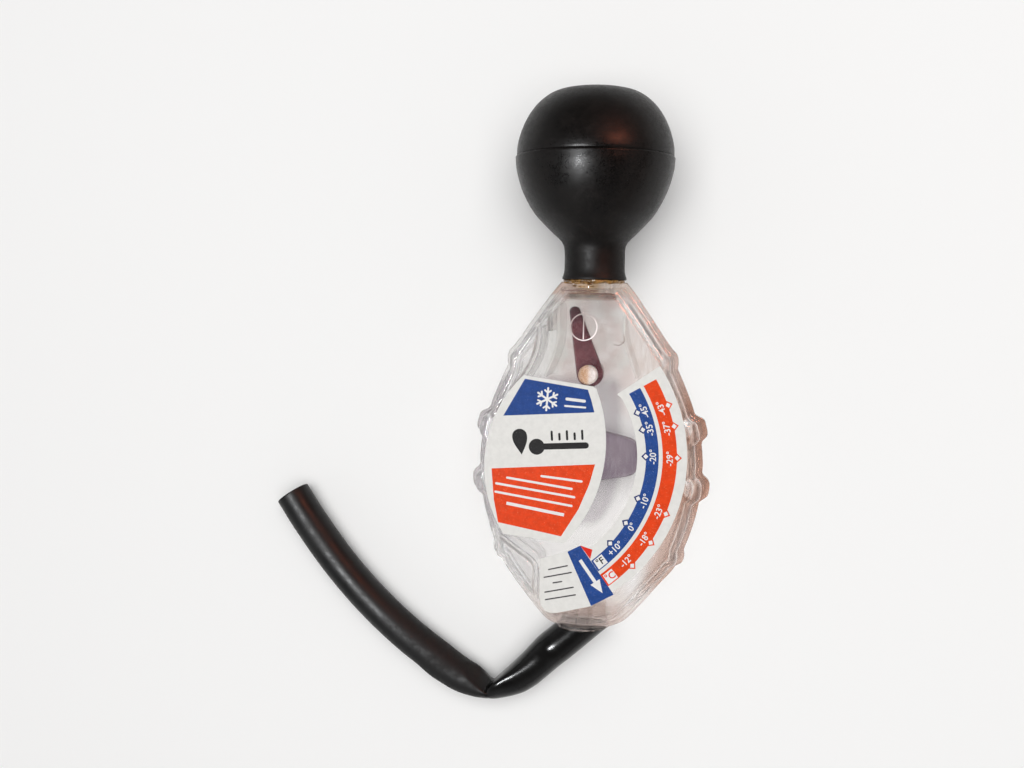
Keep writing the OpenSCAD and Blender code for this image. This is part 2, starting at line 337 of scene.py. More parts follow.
def arc3(a, b, c, n):
    a, b, c = (np.array(q, float) for q in (a, b, c))
    d = 2 * (a[0] * (b[1] - c[1]) + b[0] * (c[1] - a[1]) + c[0] * (a[1] - b[1]))
    a2, b2, c2 = a @ a, b @ b, c @ c
    o = np.array([
        (a2 * (b[1] - c[1]) + b2 * (c[1] - a[1]) + c2 * (a[1] - b[1])) / d,
        (a2 * (c[0] - b[0]) + b2 * (a[0] - c[0]) + c2 * (b[0] - a[0])) / d,
    ])
    r = np.linalg.norm(a - o)
    a0 = math.degrees(math.atan2(a[1] - o[1], a[0] - o[0]))
    a1 = math.degrees(math.atan2(c[1] - o[1], c[0] - o[0]))
    sweep = (a1 - a0 + 180) % 360 - 180
    return [polar(r, a0 + sweep * k / n, tuple(o)) for k in range(n + 1)]


# ---------------------------------------------------------------- materials
class Mat:
    """A node material, with short names for the nodes that it uses."""

    def __init__(self, name, where="tester"):
        self.m = bpy.data.materials.new(name)
        self.m.use_nodes = True
        self.t = self.m.node_tree
        self.t.nodes.clear()
        self.out = self.t.nodes.new("ShaderNodeOutputMaterial")
        tc = self.t.nodes.new("ShaderNodeTexCoord")
        mp = self.t.nodes.new("ShaderNodeMapping")
        self.t.links.new(tc.outputs["Object"], mp.inputs["Vector"])
        mp.inputs["Scale"].default_value = (1000, 1000, 1000)
        if where == "tester":
            # back from the row frame to the tester's own frame, in mm
            mp.inputs["Rotation"].default_value = (-TILT, 0, 0)
            back = -(ROW.T @ LIE)
            mp.inputs["Location"].default_value = tuple(back)
        self.pos = mp.outputs["Vector"]
        self._xyz = None

    def node(self, kind, **inputs):
        n = self.t.nodes.new(kind)
        for k, v in inputs.items():
            self.put(n, k, v)
        return n

    def put(self, n, k, v):
        sock = n.inputs[k]
        if isinstance(v, bpy.types.NodeSocket):
            self.t.links.new(v, sock)
        else:
            if sock.type == "RGBA" and not isinstance(v, (int, float)) and len(v) == 3:
                v = (*v, 1.0)
            sock.default_value = v

    def xyz(self, which):
        if self._xyz is None:
            self._xyz = self.node("ShaderNodeSeparateXYZ", Vector=self.pos)
        return self._xyz.outputs[which]

    def math(self, op, a, b=0.0, c=None, clamp=False):
        n = self.t.nodes.new("ShaderNodeMath")
        n.operation = op
        n.use_clamp = clamp
        for i, v in enumerate((a, b) if c is None else (a, b, c)):
            if isinstance(v, bpy.types.NodeSocket):
                self.t.links.new(v, n.inputs[i])
            else:
                n.inputs[i].default_value = v
        return n.outputs[0]

    def ramp(self, v, lo, hi, to0=0.0, to1=1.0, smooth=True):
        n = self.t.nodes.new("ShaderNodeMapRange")
        n.interpolation_type = "SMOOTHSTEP" if smooth else "LINEAR"
        n.clamp = True
        self.t.links.new(v, n.inputs["Value"])
        n.inputs["From Min"].default_value = lo
        n.inputs["From Max"].default_value = hi
        n.inputs["To Min"].default_value = to0
        n.inputs["To Max"].default_value = to1
        return n.outputs["Result"]

    def stretch(self, sx, sy, sz, vec=None):
        n = self.t.nodes.new("ShaderNodeMapping")
        self.t.links.new(vec or self.pos, n.inputs["Vector"])
        n.inputs["Scale"].default_value = (sx, sy, sz)
        return n.outputs["Vector"]

    def noise(self, scale, detail=3.0, rough=0.5, vec=None, distort=0.0):
        n = self.t.nodes.new("ShaderNodeTexNoise")
        self.t.links.new(vec or self.pos, n.inputs["Vector"])
        n.inputs["Scale"].default_value = scale
        n.inputs["Detail"].default_value = detail
        n.inputs["Roughness"].default_value = rough
        n.inputs["Distortion"].default_value = distort
        return n.outputs["Fac"]

    def voronoi(self, scale, vec=None, feature="F1", random=1.0):
        n = self.t.nodes.new("ShaderNodeTexVoronoi")
        n.feature = feature
        self.t.links.new(vec or self.pos, n.inputs["Vector"])
        n.inputs["Scale"].default_value = scale
        n.inputs["Randomness"].default_value = random
        return n.outputs["Distance"]

    def mix(self, fac, a, b, kind="MIX"):
        n = self.t.nodes.new("ShaderNodeMix")
        n.data_type = "RGBA"
        n.blend_type = kind
        n.clamp_factor = True
        for sock, v in ((n.inputs["Factor"], fac), (n.inputs[6], a), (n.inputs[7], b)):
            if isinstance(v, bpy.types.NodeSocket):
                self.t.links.new(v, sock)
            else:
                sock.default_value = (*v, 1.0) if isinstance(v, tuple) and len(v) == 3 else v
        return n.outputs[2]

    def bump(self, height, strength=0.3, distance=0.0001, normal=None):
        n = self.t.nodes.new("ShaderNodeBump")
        n.inputs["Strength"].default_value = strength
        n.inputs["Distance"].default_value = distance
        self.t.links.new(height, n.inputs["Height"])
        if normal is not None:
            self.t.links.new(normal, n.inputs["Normal"])
        return n.outputs["Normal"]

    def principled(self, **inputs):
        n = self.t.nodes.new("ShaderNodeBsdfPrincipled")
        for k, v in inputs.items():
            self.put(n, k.replace("_", " "), v)
        return n

    def done(self, shader):
        self.t.links.new(shader, self.out.inputs["Surface"])
        return self.m


def blob(m, centre, along, size):
    """1 at the centre of a soft ellipse in plan, 0 outside it."""
    dx = m.math("SUBTRACT", m.xyz("X"), centre[0])
    dy = m.math("SUBTRACT", m.xyz("Y"), centre[1])
    a = math.radians(along)
    u = m.math("ADD", m.math("MULTIPLY", dx, math.cos(a) / size[0]), m.math("MULTIPLY", dy, math.sin(a) / size[0]))
    v = m.math("ADD", m.math("MULTIPLY", dx, -math.sin(a) / size[1]), m.math("MULTIPLY", dy, math.cos(a) / size[1]))
    d = m.math("SQRT", m.math("ADD", m.math("MULTIPLY", u, u), m.math("MULTIPLY", v, v)))
    return m.ramp(d, 0.1, 1.0, 1.0, 0.0)


def rubber(name, where, base, light, brown, rough, spec=0.32, glossy=None, patches=(), dust=None, relief=1.0):
    m = Mat(name, where)
    big = m.noise(0.09, 5.0, 0.55)
    fine = m.noise(0.55, 6.0, 0.6)
    grain = m.noise(6.0, 3.0, 0.6)
    col = m.mix(m.ramp(big, 0.35, 0.7), base, light)
    col = m.mix(m.math("MULTIPLY", m.ramp(fine, 0.52, 0.75), 0.35), col, brown)
    r = m.math("ADD", m.ramp(fine, 0.3, 0.7, rough - 0.04, rough + 0.06), m.ramp(big, 0.3, 0.7, -0.03, 0.04))
    if glossy:
        r = m.math("MULTIPLY", r, glossy(m))
    if dust:
        # grey bloom in clouds, with scuffs and specks
        bloom = m.noise(0.16, 6.0, 0.68)
        speck = m.noise(1.9, 5.0, 0.75)
        col = m.mix(m.math("MULTIPLY", m.ramp(bloom, 0.42, 0.72), 0.75), col, dust)
        col = m.mix(m.math("MULTIPLY", m.ramp(speck, 0.56, 0.70), 0.5), col, tuple(2.0 * c for c in dust))
        r = m.math("ADD", r, m.ramp(speck, 0.35, 0.65, -0.07, 0.09))
    for patch in patches:
        col = m.mix(blob(m, *patch[:3]), col, patch[3])
    height = m.math("ADD", m.math("MULTIPLY", fine, 0.7), m.math("MULTIPLY", grain, 0.25))
    nrm = m.bump(height, 0.22 * relief, 0.00012 * relief)
    p = m.principled(Base_Color=col, Roughness=r, Normal=nrm)
    p.inputs["Specular IOR Level"].default_value = spec
    return m.done(p.outputs[0])


mat_bulb = rubber("bulb_rubber_look", "tester", (0.0026, 0.0021, 0.0019), (0.0058, 0.0048, 0.0044),
                  (0.0095, 0.0058, 0.0045), 0.37, 0.192,
                  dust=(0.0090, 0.0073, 0.0066), relief=1.6,
                  glossy=lambda m: m.math("MULTIPLY", m.ramp(m.math("ABSOLUTE", m.math("SUBTRACT", m.xyz("Y"), 89.0)),
                                                             3.0, 11.0, 0.84, 1.0), m.ramp(m.xyz("Y"), 64.0, 72.0, 1.3, 1.0)))
mat_hose = rubber("hose_rubber_look", "row", (0.0028, 0.0026, 0.0026), (0.005, 0.0047, 0.0045),
                  (0.007, 0.006, 0.0055), 0.37, 0.30,
                  glossy=lambda m: m.math("MULTIPLY", m.math("ADD", m.ramp(m.xyz("X"), -74.0, -56.0, 1.18, 1.64),
                                                             m.ramp(m.xyz("X"), -36.5, -32.0, 0.0, -1.07)),
                                          m.math("SUBTRACT", 1.0, m.math("MULTIPLY", 0.4, blob(
                                              m, (-12.4, -92.4), 45, (6.0, 5.0))))))


def clear_plastic(name, rear=False):
    m = Mat(name)
    x, y, z = m.xyz("X"), m.xyz("Y"), m.xyz("Z")

    def spot(cx, cy, rx, ry, lo, hi):
        """1 inside an ellipse, falling to 0 between lo and hi of its radius."""
        u = m.math("DIVIDE", m.math("SUBTRACT", x, cx), rx)
        v = m.math("DIVIDE", m.math("SUBTRACT", y, cy), ry)
        d = m.math("SQRT", m.math("ADD", m.math("MULTIPLY", u, u), m.math("MULTIPLY", v, v)))
        return d, m.ramp(d, lo, hi, 1.0, 0.0)

    # the moulding is clear on its left flank and tinted pinkish over the chamber, a painted tint of warm surroundings
    # seen through it;
    # it is tan along its right flank, a painted reflection of those surroundings, and tan along its lower end
    xl = m.math("ADD", -15.9, m.math("MULTIPLY", m.math("POWER", m.math("SUBTRACT", y, 38.0), 2.0), -0.0232))
    left = m.ramp(m.math("SUBTRACT", x, xl), -1.0, 1.2)
    cloud = m.noise(0.2, 6.0, 0.66)
    # the pinkish film over the chamber is a painted tint of warm surroundings seen through the plastic, not a coating
    film = m.mix(m.ramp(cloud, 0.40, 0.62), (0.925, 0.862, 0.848), (1.0, 0.985, 0.978))
    cool = m.noise(0.11, 3.0, 0.6, m.stretch(1.0, 0.7, 0.2))
    film = m.mix(m.math("MULTIPLY", m.ramp(cool, 0.47, 0.62), 0.8), film, (0.955, 0.968, 0.95))
    lower = m.mix(m.ramp(cloud, 0.3, 0.75), (0.993, 0.990, 0.99), (0.995, 0.998, 1.0))
    film = m.mix(m.ramp(y, 4.0, 26.0), lower, film)
    col = m.mix(left, (0.955, 0.952, 0.95), film)
    # streaky plastic between the guide ribs and the flanks
    flow = m.noise(1.0, 4.0, 0.65, m.stretch(1.0, 0.16, 1.0))
    up_here = m.ramp(y, 15.0, 23.0)
    xr = m.math("ADD", 10.5, m.math("MULTIPLY", m.math("POWER", m.math("MAXIMUM", m.math("SUBTRACT", 38.0, y), 0.0), 2.0), 0.0195))
    beyond = m.math("MULTIPLY", m.ramp(m.math("SUBTRACT", x, xr), 0.1, 1.2), up_here)
    col = m.mix(beyond, col, m.mix(m.ramp(flow, 0.34, 0.62), (0.90, 0.84, 0.81), (0.985, 0.972, 0.966)))
    before = m.math("MULTIPLY", m.math("MULTIPLY", m.ramp(x, -12.0, -13.2), up_here), left)
    col = m.mix(before, col, m.mix(m.ramp(flow, 0.34, 0.62), (0.90, 0.893, 0.885), (0.99, 0.99, 0.987)))
    # dried glue has stained the collar, brown on its left half
    collar = m.ramp(y, 49.7, 50.4)
    col = m.mix(collar, col, m.mix(m.ramp(x, 0.5, 3.5), m.mix(m.ramp(x, -6.5, -3.5), (0.925, 0.855, 0.82), (0.94, 0.84, 0.73)),
                               (0.975, 0.935, 0.905)))
    # painted shade: a darker crescent on one side of the ejector pin's recess under the panel
    dm, _ = spot(8.9, 36.6, 2.1, 2.1, 0.9, 1.0)
    painted_recess_shade = m.math("MULTIPLY", m.math("MULTIPLY", m.ramp(dm, 0.80, 0.93), m.ramp(dm, 0.97, 1.12, 1.0, 0.0)),
                  m.ramp(m.math("SUBTRACT", m.math("SUBTRACT", x, 8.9), m.math("SUBTRACT", y, 36.6)), -0.4, 1.8))
    col = m.mix(painted_recess_shade, col, (0.70, 0.62, 0.59))
    # painted reflection: the tan along the right flank stands for warm surroundings refracted and mirrored in it
    flank = m.ramp(m.math("ADD", x, m.math("MULTIPLY", m.math("ABSOLUTE", y), 0.30)), 27.5, 34.0)
    streak = m.noise(0.9, 3.0, 0.6, m.stretch(1.0, 0.10, 1.0))
    tan = m.mix(m.ramp(streak, 0.35, 0.65), (0.66, 0.465, 0.385), (0.83, 0.68, 0.61))
    ripples = m.noise(2.0, 2.0, 0.6, m.stretch(1.0, 0.07, 0.5))
    tan = m.mix(m.ramp(y, 13.0, 27.0, 0.0, 0.62), tan, (0.955, 0.925, 0.915))
    tan = m.mix(m.ramp(y, -12.0, -24.0, 0.0, 0.5), tan, (0.93, 0.875, 0.85))
    windows = []
    for c in ((30.9, 9.8), (31.9, -9.0)):
        d, inside = spot(c[0], c[1], 1.75, 3.1, 0.8, 1.05)
        windows.append(inside)
        ring = m.math("MULTIPLY", m.ramp(d, 0.95, 1.15), m.ramp(d, 1.15, 1.4, 1.0, 0.0))
        tan = m.mix(ring, tan, (0.58, 0.42, 0.36))
    open_ = m.math("MAXIMUM", windows[0], windows[1])
    flank = m.math("MULTIPLY", flank, m.math("SUBTRACT", 1.0, open_))
    col = m.mix(flank, col, tan)
    # lower end: pinkish brown, crossed by fine darker lines
    bottom = m.ramp(y, -40.0, -49.0)
    wander = m.noise(0.16, 2.0, 0.5)
    wave = m.math("SINE", m.math("ADD", m.math("MULTIPLY", y, 9.5), m.math("MULTIPLY", wander, 22.0)))
    wave2 = m.math("SINE", m.math("ADD", m.math("MULTIPLY", y, 15.5), m.math("MULTIPLY", wander, -17.0)))
    lines = m.math("MULTIPLY", m.math("MAXIMUM", m.ramp(wave, 0.35, 0.95), m.ramp(wave2, 0.5, 1.0)),
                   m.math("MULTIPLY", m.ramp(y, -45.2, -47.0), m.ramp(m.math("ABSOLUTE", x), 14.0, 9.0, 0.0, 1.0)))
    low_tan = m.mix(lines, (0.985, 0.968, 0.958), (0.86, 0.775, 0.74))
    if rear:
        # painted shadow: the rear shell is tinted darker beside the main label's edge, where the label would shade the
        # chamber's floor
        edge_x = m.math("SUBTRACT", 5.6, m.math("MULTIPLY", m.math("POWER", m.math(
            "ABSOLUTE", m.math("SUBTRACT", y, 4.0)), 4.0), 0.0000085))
        painted_label_shadow = m.math("MULTIPLY", m.ramp(m.math("SUBTRACT", x, edge_x), 1.0, 5.2, 1.0, 0.0),
                       m.math("MULTIPLY", m.ramp(y, 25.0, 20.0), m.ramp(y, -29.0, -24.0)))
        col = m.mix(painted_label_shadow, col, (0.66, 0.635, 0.66))
    col = m.mix(m.math("MULTIPLY", bottom, 0.95), col, low_tan)
    # painted shade: the plastic's colour darkens where its surface turns away from the view, most at its rims and
    # edges
    edge = m.t.nodes.new("ShaderNodeLayerWeight")
    edge.inputs["Blend"].default_value = 0.35
    side = m.ramp(x, -12.0, 12.0)
    painted_rim_shade = m.mix(side, (0.84, 0.825, 0.815), (0.82, 0.70, 0.65))
    painted_grazing_shade = m.mix(side, (0.42, 0.38, 0.37), (0.46, 0.30, 0.25))
    # painted shade: a thin darker line is painted along the outer edge, near the parting plane
    az = m.math("ABSOLUTE", z)
    painted_lip_line = m.math("MULTIPLY", m.ramp(az, 0.85, 1.2), m.ramp(az, 1.36, 1.49, 1.0, 0.0))
    col = m.mix(m.math("MULTIPLY", painted_lip_line, 0.85), col, m.mix(side, (0.56, 0.53, 0.52), (0.58, 0.43, 0.38)))
    col = m.mix(m.ramp(edge.outputs["Facing"], 0.35, 1.0, 0.0, 0.6), col, painted_rim_shade)
    col = m.mix(m.ramp(edge.outputs["Facing"], 0.78, 1.0, 0.0, 0.85), col, painted_grazing_shade)
    grain = m.noise(0.45, 3.0, 0.55, m.stretch(1.0, 0.35, 1.0))
    height = m.math("ADD", grain, m.math("MULTIPLY", lines, m.math("MULTIPLY", bottom, -0.9)))
    # the moulding's flow marks ripple its right flank
    height = m.math("ADD", height, m.math("MULTIPLY", m.ramp(ripples, 0.45, 0.68), m.math("MULTIPLY", flank, 1.3)))
    nrm = m.bump(height, 0.10, 0.00014)
    p = m.principled(Base_Color=col, Roughness=0.015, IOR=1.50, Transmission_Weight=1.0, Normal=nrm)
    straight = m.node("ShaderNodeBsdfTransparent", Color=col)
    haze_col = m.mix(0.55, col, (0.90, 0.88, 0.87))
    milk = m.node("ShaderNodeBsdfTranslucent", Color=haze_col)
    milk2 = m.node("ShaderNodeBsdfDiffuse", Color=haze_col)

    def blend(fac, u, v):
        n = m.t.nodes.new("ShaderNodeMixShader")
        if isinstance(fac, bpy.types.NodeSocket):
            m.t.links.new(fac, n.inputs[0])
        else:
            n.inputs[0].default_value = fac
        m.t.links.new(u.outputs[0], n.inputs[1])
        m.t.links.new(v.outputs[0], n.inputs[2])
        return n

    ends = m.math("MAXIMUM", m.ramp(y, 46.5, 49.5), m.ramp(y, -45.0, -49.0))
    body = blend(m.math("ADD", 0.10, m.math("MULTIPLY", ends, 0.5)), p, straight)
    haze = 0.016
    if rear:
        # the floor of the chamber has a milky film, and the ribs' top edges are made milky as a painted highlight
        haze = m.math("MAXIMUM", m.ramp(y, 20.0, -10.0, 0.055, 0.17), m.ramp(z, 6.7, 7.2, 0.0, 0.38))
    body = blend(haze, body, blend(0.5, milk, milk2))
    clear = m.node("ShaderNodeBsdfTransparent", Color=(0.985, 0.983, 0.982))
    path = m.t.nodes.new("ShaderNodeLightPath")
    fac = m.math("MAXIMUM", path.outputs["Is Shadow Ray"], path.outputs["Is Diffuse Ray"])
    return m.done(blend(fac, body, clear).outputs[0])


mat_front = clear_plastic("clear_front_look")
mat_rear = clear_plastic("clear_rear_look", True)


def frosted():
    m = Mat("etched_mark_look")
    n = m.noise(2.2, 3.0, 0.6)
    # painted light and shade: the mark is painted pale on its lower right, where it would catch the light, and darker
    # on its upper left
    painted_light_side = m.ramp(m.math("SUBTRACT", m.math("ADD", m.xyz("X"), 1.7), m.math("SUBTRACT", m.xyz("Y"), 40.0)), -3.0, 4.5)
    col = m.mix(painted_light_side, (0.50, 0.42, 0.40), m.mix(n, (0.93, 0.86, 0.85), (0.99, 0.96, 0.95)))
    p = m.principled(Base_Color=col, Roughness=0.55, Normal=m.bump(n, 0.3, 0.00005))
    p.inputs["Subsurface Weight"].default_value = 0.0
    return m.done(p.outputs[0])


mat_etch = frosted()


def cement():
    m = Mat("cement_look")
    n = m.noise(0.9, 5.0, 0.65)
    k = m.noise(0.35, 3.0, 0.5)
    col = m.mix(m.ramp(n, 0.35, 0.65), (0.09, 0.038, 0.010), (0.36, 0.19, 0.045))
    col = m.mix(m.ramp(k, 0.58, 0.78), col, (0.50, 0.33, 0.15))
    p = m.principled(Base_Color=col, Roughness=m.ramp(n, 0.3, 0.7, 0.18, 0.42), Normal=m.bump(n, 0.5, 0.0002))
    p.inputs["Coat Weight"].default_value = 0.4
    p.inputs["Coat Roughness"].default_value = 0.12
    return m.done(p.outputs[0])


mat_cement = cement()


def wine():
    m = Mat("pointer_look")
    big = m.noise(0.28, 4.0, 0.6)
    fine = m.noise(1.3, 4.0, 0.6)
    grit = m.noise(3.2, 4.0, 0.7)
    col = m.mix(m.ramp(big, 0.35, 0.66), (0.070, 0.012, 0.021), (0.160, 0.050, 0.062))
    col = m.mix(m.math("MULTIPLY", m.ramp(fine, 0.48, 0.72), 0.5), col, (0.22, 0.105, 0.12))
    col = m.mix(m.math("MULTIPLY", m.ramp(grit, 0.52, 0.66), 0.4), col, (0.05, 0.010, 0.018))
    col = m.mix(m.ramp(m.math("ADD", m.xyz("Y"), m.math("MULTIPLY", big, 5.0)), 42.0, 47.5, 0.0, 0.8), col, (0.030, 0.007, 0.012))
    p = m.principled(Base_Color=col, Roughness=m.ramp(fine, 0.3, 0.7, 0.5, 0.66), Normal=m.bump(fine, 0.25, 0.0001))
    p.inputs["Specular IOR Level"].default_value = 0.08
    return m.done(p.outputs[0])


mat_pointer = wine()


def vane_look():
    m = Mat("vane_look")
    ang = math.radians(FLOAT_A)
    streak = m.noise(1.6, 4.0, 0.6, m.stretch(1.0, 0.12, 1.0))
    soft = m.noise(0.14, 3.0, 0.5)
    col = m.mix(m.ramp(soft, 0.3, 0.7), (0.165, 0.125, 0.165), (0.235, 0.19, 0.225))
    col = m.mix(m.math("MULTIPLY", m.ramp(streak, 0.4, 0.7), 0.5), col, (0.30, 0.26, 0.30))
    p = m.principled(Base_Color=col, Roughness=0.6, Normal=m.bump(streak, 0.2, 0.0001))
    p.inputs["Specular IOR Level"].default_value = 0.10
    return m.done(p.outputs[0])


mat_vane = vane_look()


def brass(name, centre):
    m = Mat(name)
    dx = m.math("SUBTRACT", m.xyz("X"), centre[0])
    dy = m.math("SUBTRACT", m.xyz("Y"), centre[1])
    r = m.math("SQRT", m.math("ADD", m.math("MULTIPLY", dx, dx), m.math("MULTIPLY", dy, dy)))
    vec = m.node("ShaderNodeCombineXYZ", X=r).outputs[0]
    turn = m.noise(5.0, 2.0, 0.6, vec)
    blot = m.noise(0.8, 4.0, 0.6)
    spot = m.noise(2.2, 4.0, 0.7, m.stretch(1.0, 1.6, 1.0))
    # tarnished and spotted on the left; the pale right side is a painted glare, and worn is its mask
    col = m.mix(m.ramp(spot, 0.42, 0.56), (0.56, 0.43, 0.33), (0.42, 0.22, 0.085))
    col = m.mix(m.math("MULTIPLY", m.ramp(spot, 0.57, 0.66), 0.8), col, (0.14, 0.065, 0.028))
    pale = m.mix(m.ramp(blot, 0.35, 0.65), (0.50, 0.455, 0.43), (0.66, 0.635, 0.62))
    # worn masks the painted glare on the right side, not wear
    worn = m.ramp(m.math("ADD", dx, m.math("MULTIPLY", m.math("SUBTRACT", spot, 0.5), 5.5)), -0.4, 0.9)
    col = m.mix(worn, col, pale)
    ring = m.math("MULTIPLY", m.ramp(r, 2.35, 2.6), m.ramp(r, 2.62, 2.8, 1.0, 0.0))
    col = m.mix(m.math("MULTIPLY", ring, 0.75), col, (0.34, 0.24, 0.18))
    p = m.principled(Base_Color=col, Metallic=0.08, Roughness=m.ramp(turn, 0.3, 0.7, 0.42, 0.56),
                     Normal=m.bump(turn, 0.35, 0.00008))
    p.inputs["Specular IOR Level"].default_value = 0.15
    return m.done(p.outputs[0])


mat_pin = brass("level_pin_look", LEVEL_C)
mat_fpin = brass("vane_pin_look", FLOAT_C)


def steel():
    m = Mat("weight_look")
    n = m.noise(1.5, 4.0, 0.6, m.stretch(1, 1, 0.2))
    p = m.principled(Base_Color=m.mix(n, (0.42, 0.42, 0.43), (0.62, 0.61, 0.60)), Metallic=1.0,
                     Roughness=m.ramp(n, 0.3, 0.7, 0.28, 0.5), Normal=m.bump(n, 0.2, 0.00005))
    return m.done(p.outputs[0])


mat_steel = steel()


def film(name, col, worn=None, amount=0.25, rough=0.46):
    """Printed sticker film or one of its inks: slightly mottled, with small specks where ink is missing."""
    m = Mat(name)
    cloud = m.noise(0.5, 4.0, 0.6)
    fine = m.noise(3.2, 3.0, 0.6)
    c = m.mix(m.ramp(cloud, 0.3, 0.7), tuple(x * (1 - 0.35 * amount) for x in col),
              tuple(min(1, x * (1 + 0.25 * amount)) for x in col))
    if worn:
        specks = m.ramp(m.noise(2.6, 4.0, 0.8), 0.60, 0.67)
        c = m.mix(m.math("MULTIPLY", specks, 0.75), c, worn)
    p = m.principled(Base_Color=c, Roughness=m.ramp(fine, 0.3, 0.7, rough - 0.06, rough + 0.08),
                     Normal=m.bump(fine, 0.12, 0.00004))
    p.inputs["Specular IOR Level"].default_value = 0.045
    return m.done(p.outputs[0])


mat_sticker = film("sticker_white_look", (0.755, 0.745, 0.72), amount=0.12)
mat_blue_block = film("ink_blue_block_look", (0.0135, 0.056, 0.245), (0.10, 0.16, 0.36), 0.35)
mat_blue = film("ink_blue_look", (0.018, 0.064, 0.262), (0.24, 0.30, 0.50), 0.4)
mat_orange = film("ink_orange_look", (0.76, 0.056, 0.007), (0.85, 0.30, 0.13), 0.3)
mat_red = film("ink_red_look", (0.72, 0.024, 0.012), (0.8, 0.3, 0.2), 0.3)
mat_white = film("ink_white_look", (0.80, 0.79, 0.78), amount=0.1)
mat_black = film("ink_black_look", (0.018, 0.017, 0.018), (0.12, 0.11, 0.11), 0.4)
mat_grey = film("ink_grey_look", (0.07, 0.066, 0.068), (0.3, 0.3, 0.3), 0.5)
mat_navy = film("ink_navy_look", (0.012, 0.028, 0.14), (0.2, 0.25, 0.45), 0.4)

# ---------------------------------------------------------------- hose
# The same route as in part.scad, in mm before the shift: X, Y, height, then
# half width in plan, half height, squareness, how far the crest leans to the
# inner side of the bend, and how far the inner wall's facet is from the middle.
R = 5.9
HOSE = [
    # x, y, z of the straight runs, where the tube is round
    (-105.0, -20.0, 5.98), (-99.5, -27.7, 5.98), (-93.5, -35.4, 5.98), (-86.0, -44.2, 5.98),
    (-78.0, -52.4, 5.98), (-69.5, -60.0, 5.98), (-60.5, -67.0, 5.98), (-54.6, -71.0, 5.98),
]
KINK = [
    # outer edge x, y, inner edge x, y, middle height, half height, squareness, crest, facet
    (-53.0, -79.5, -46.9, -69.0, 5.98, 5.95, 1.0, 0.0, 6.4),
    (-48.6, -81.9, -43.1, -71.6, 6.0, 5.98, 1.0, 0.0, 6.2),
    (-44.6, -83.7, -39.6, -73.7, 6.1, 6.08, 0.98, 0.0, 5.4),
    (-40.6, -84.75, -36.9, -75.1, 6.2, 6.18, 0.95, 0.0, 4.5),
    (-37.2, -85.15, -34.8, -76.8, 6.2, 6.18, 0.92, 0.1, 3.7),
    (-34.5, -85.2, -33.1, -78.35, 6.0, 5.98, 0.90, 0.3, 3.0),
    (-32.3, -85.15, -31.95, -79.45, 5.75, 5.73, 0.88, 0.4, 2.7),
    (-30.4, -84.95, -31.45, -79.55, 6.1, 6.06, 0.86, 0.9, 3.6),
    (-28.4, -84.65, -30.8, -78.9, 6.75, 6.7, 0.84, 1.5, 5.0),
    (-26.0, -84.1, -29.6, -77.7, 7.05, 6.95, 0.86, 1.8, 6.4),
    (-23.0, -83.2, -27.6, -75.7, 7.15, 6.9, 0.90, 1.9, 7.0),
    (-19.6, -81.7, -24.9, -73.0, 7.4, 6.7, 0.94, 1.6, 7.0),
    (-15.9, -79.1, -21.9, -69.8, 7.95, 6.4, 0.97, 1.1, 7.0),
    (-12.3, -75.75, -19.1, -66.6, 8.55, 6.15, 0.93, 0.6, 7.0),
    (-8.5, -72.1, -16.0, -63.0, 9.25, 6.0, 0.86, 0.3, 7.0),
    (-3.3, -67.45, -11.75, -59.1, 10.25, 5.93, 0.96, 0.0, 7.0),
    (2.0, -62.4, -6.6, -54.2, 11.3, 5.9, 1.0, 0.0, 7.0),
]


def edge_stations():
    """Every station by its outer and inner edge in plan, the round ones too."""
    c = np.array(HOSE, float)
    nxt = np.array([(KINK[0][0] + KINK[0][2]) / 2, (KINK[0][1] + KINK[0][3]) / 2, KINK[0][4]])
    t = np.gradient(np.vstack([c, nxt]), axis=0)[:-1, :2]
    t /= np.linalg.norm(t, axis=1)[:, None]
    n = np.c_[t[:, 1], -t[:, 0]]
    rows = [(*(q[:2] + R * m), *(q[:2] - R * m), q[2], R, 1.0, 0.0, 6.5) for q, m in zip(c, n)]
    rows = np.array(rows + KINK)
    # height and half height as they would be without the fold: the outer wall keeps to these
    s = np.r_[0, np.cumsum(np.linalg.norm(np.diff(rows[:, :2], axis=0), axis=1))]
    k = np.arange(len(rows)) - len(c)
    calm = (k < 4) | (k > 11)
    return np.c_[rows, np.interp(s, s[calm], rows[calm, 4]), np.interp(s, s[calm], rows[calm, 5])]


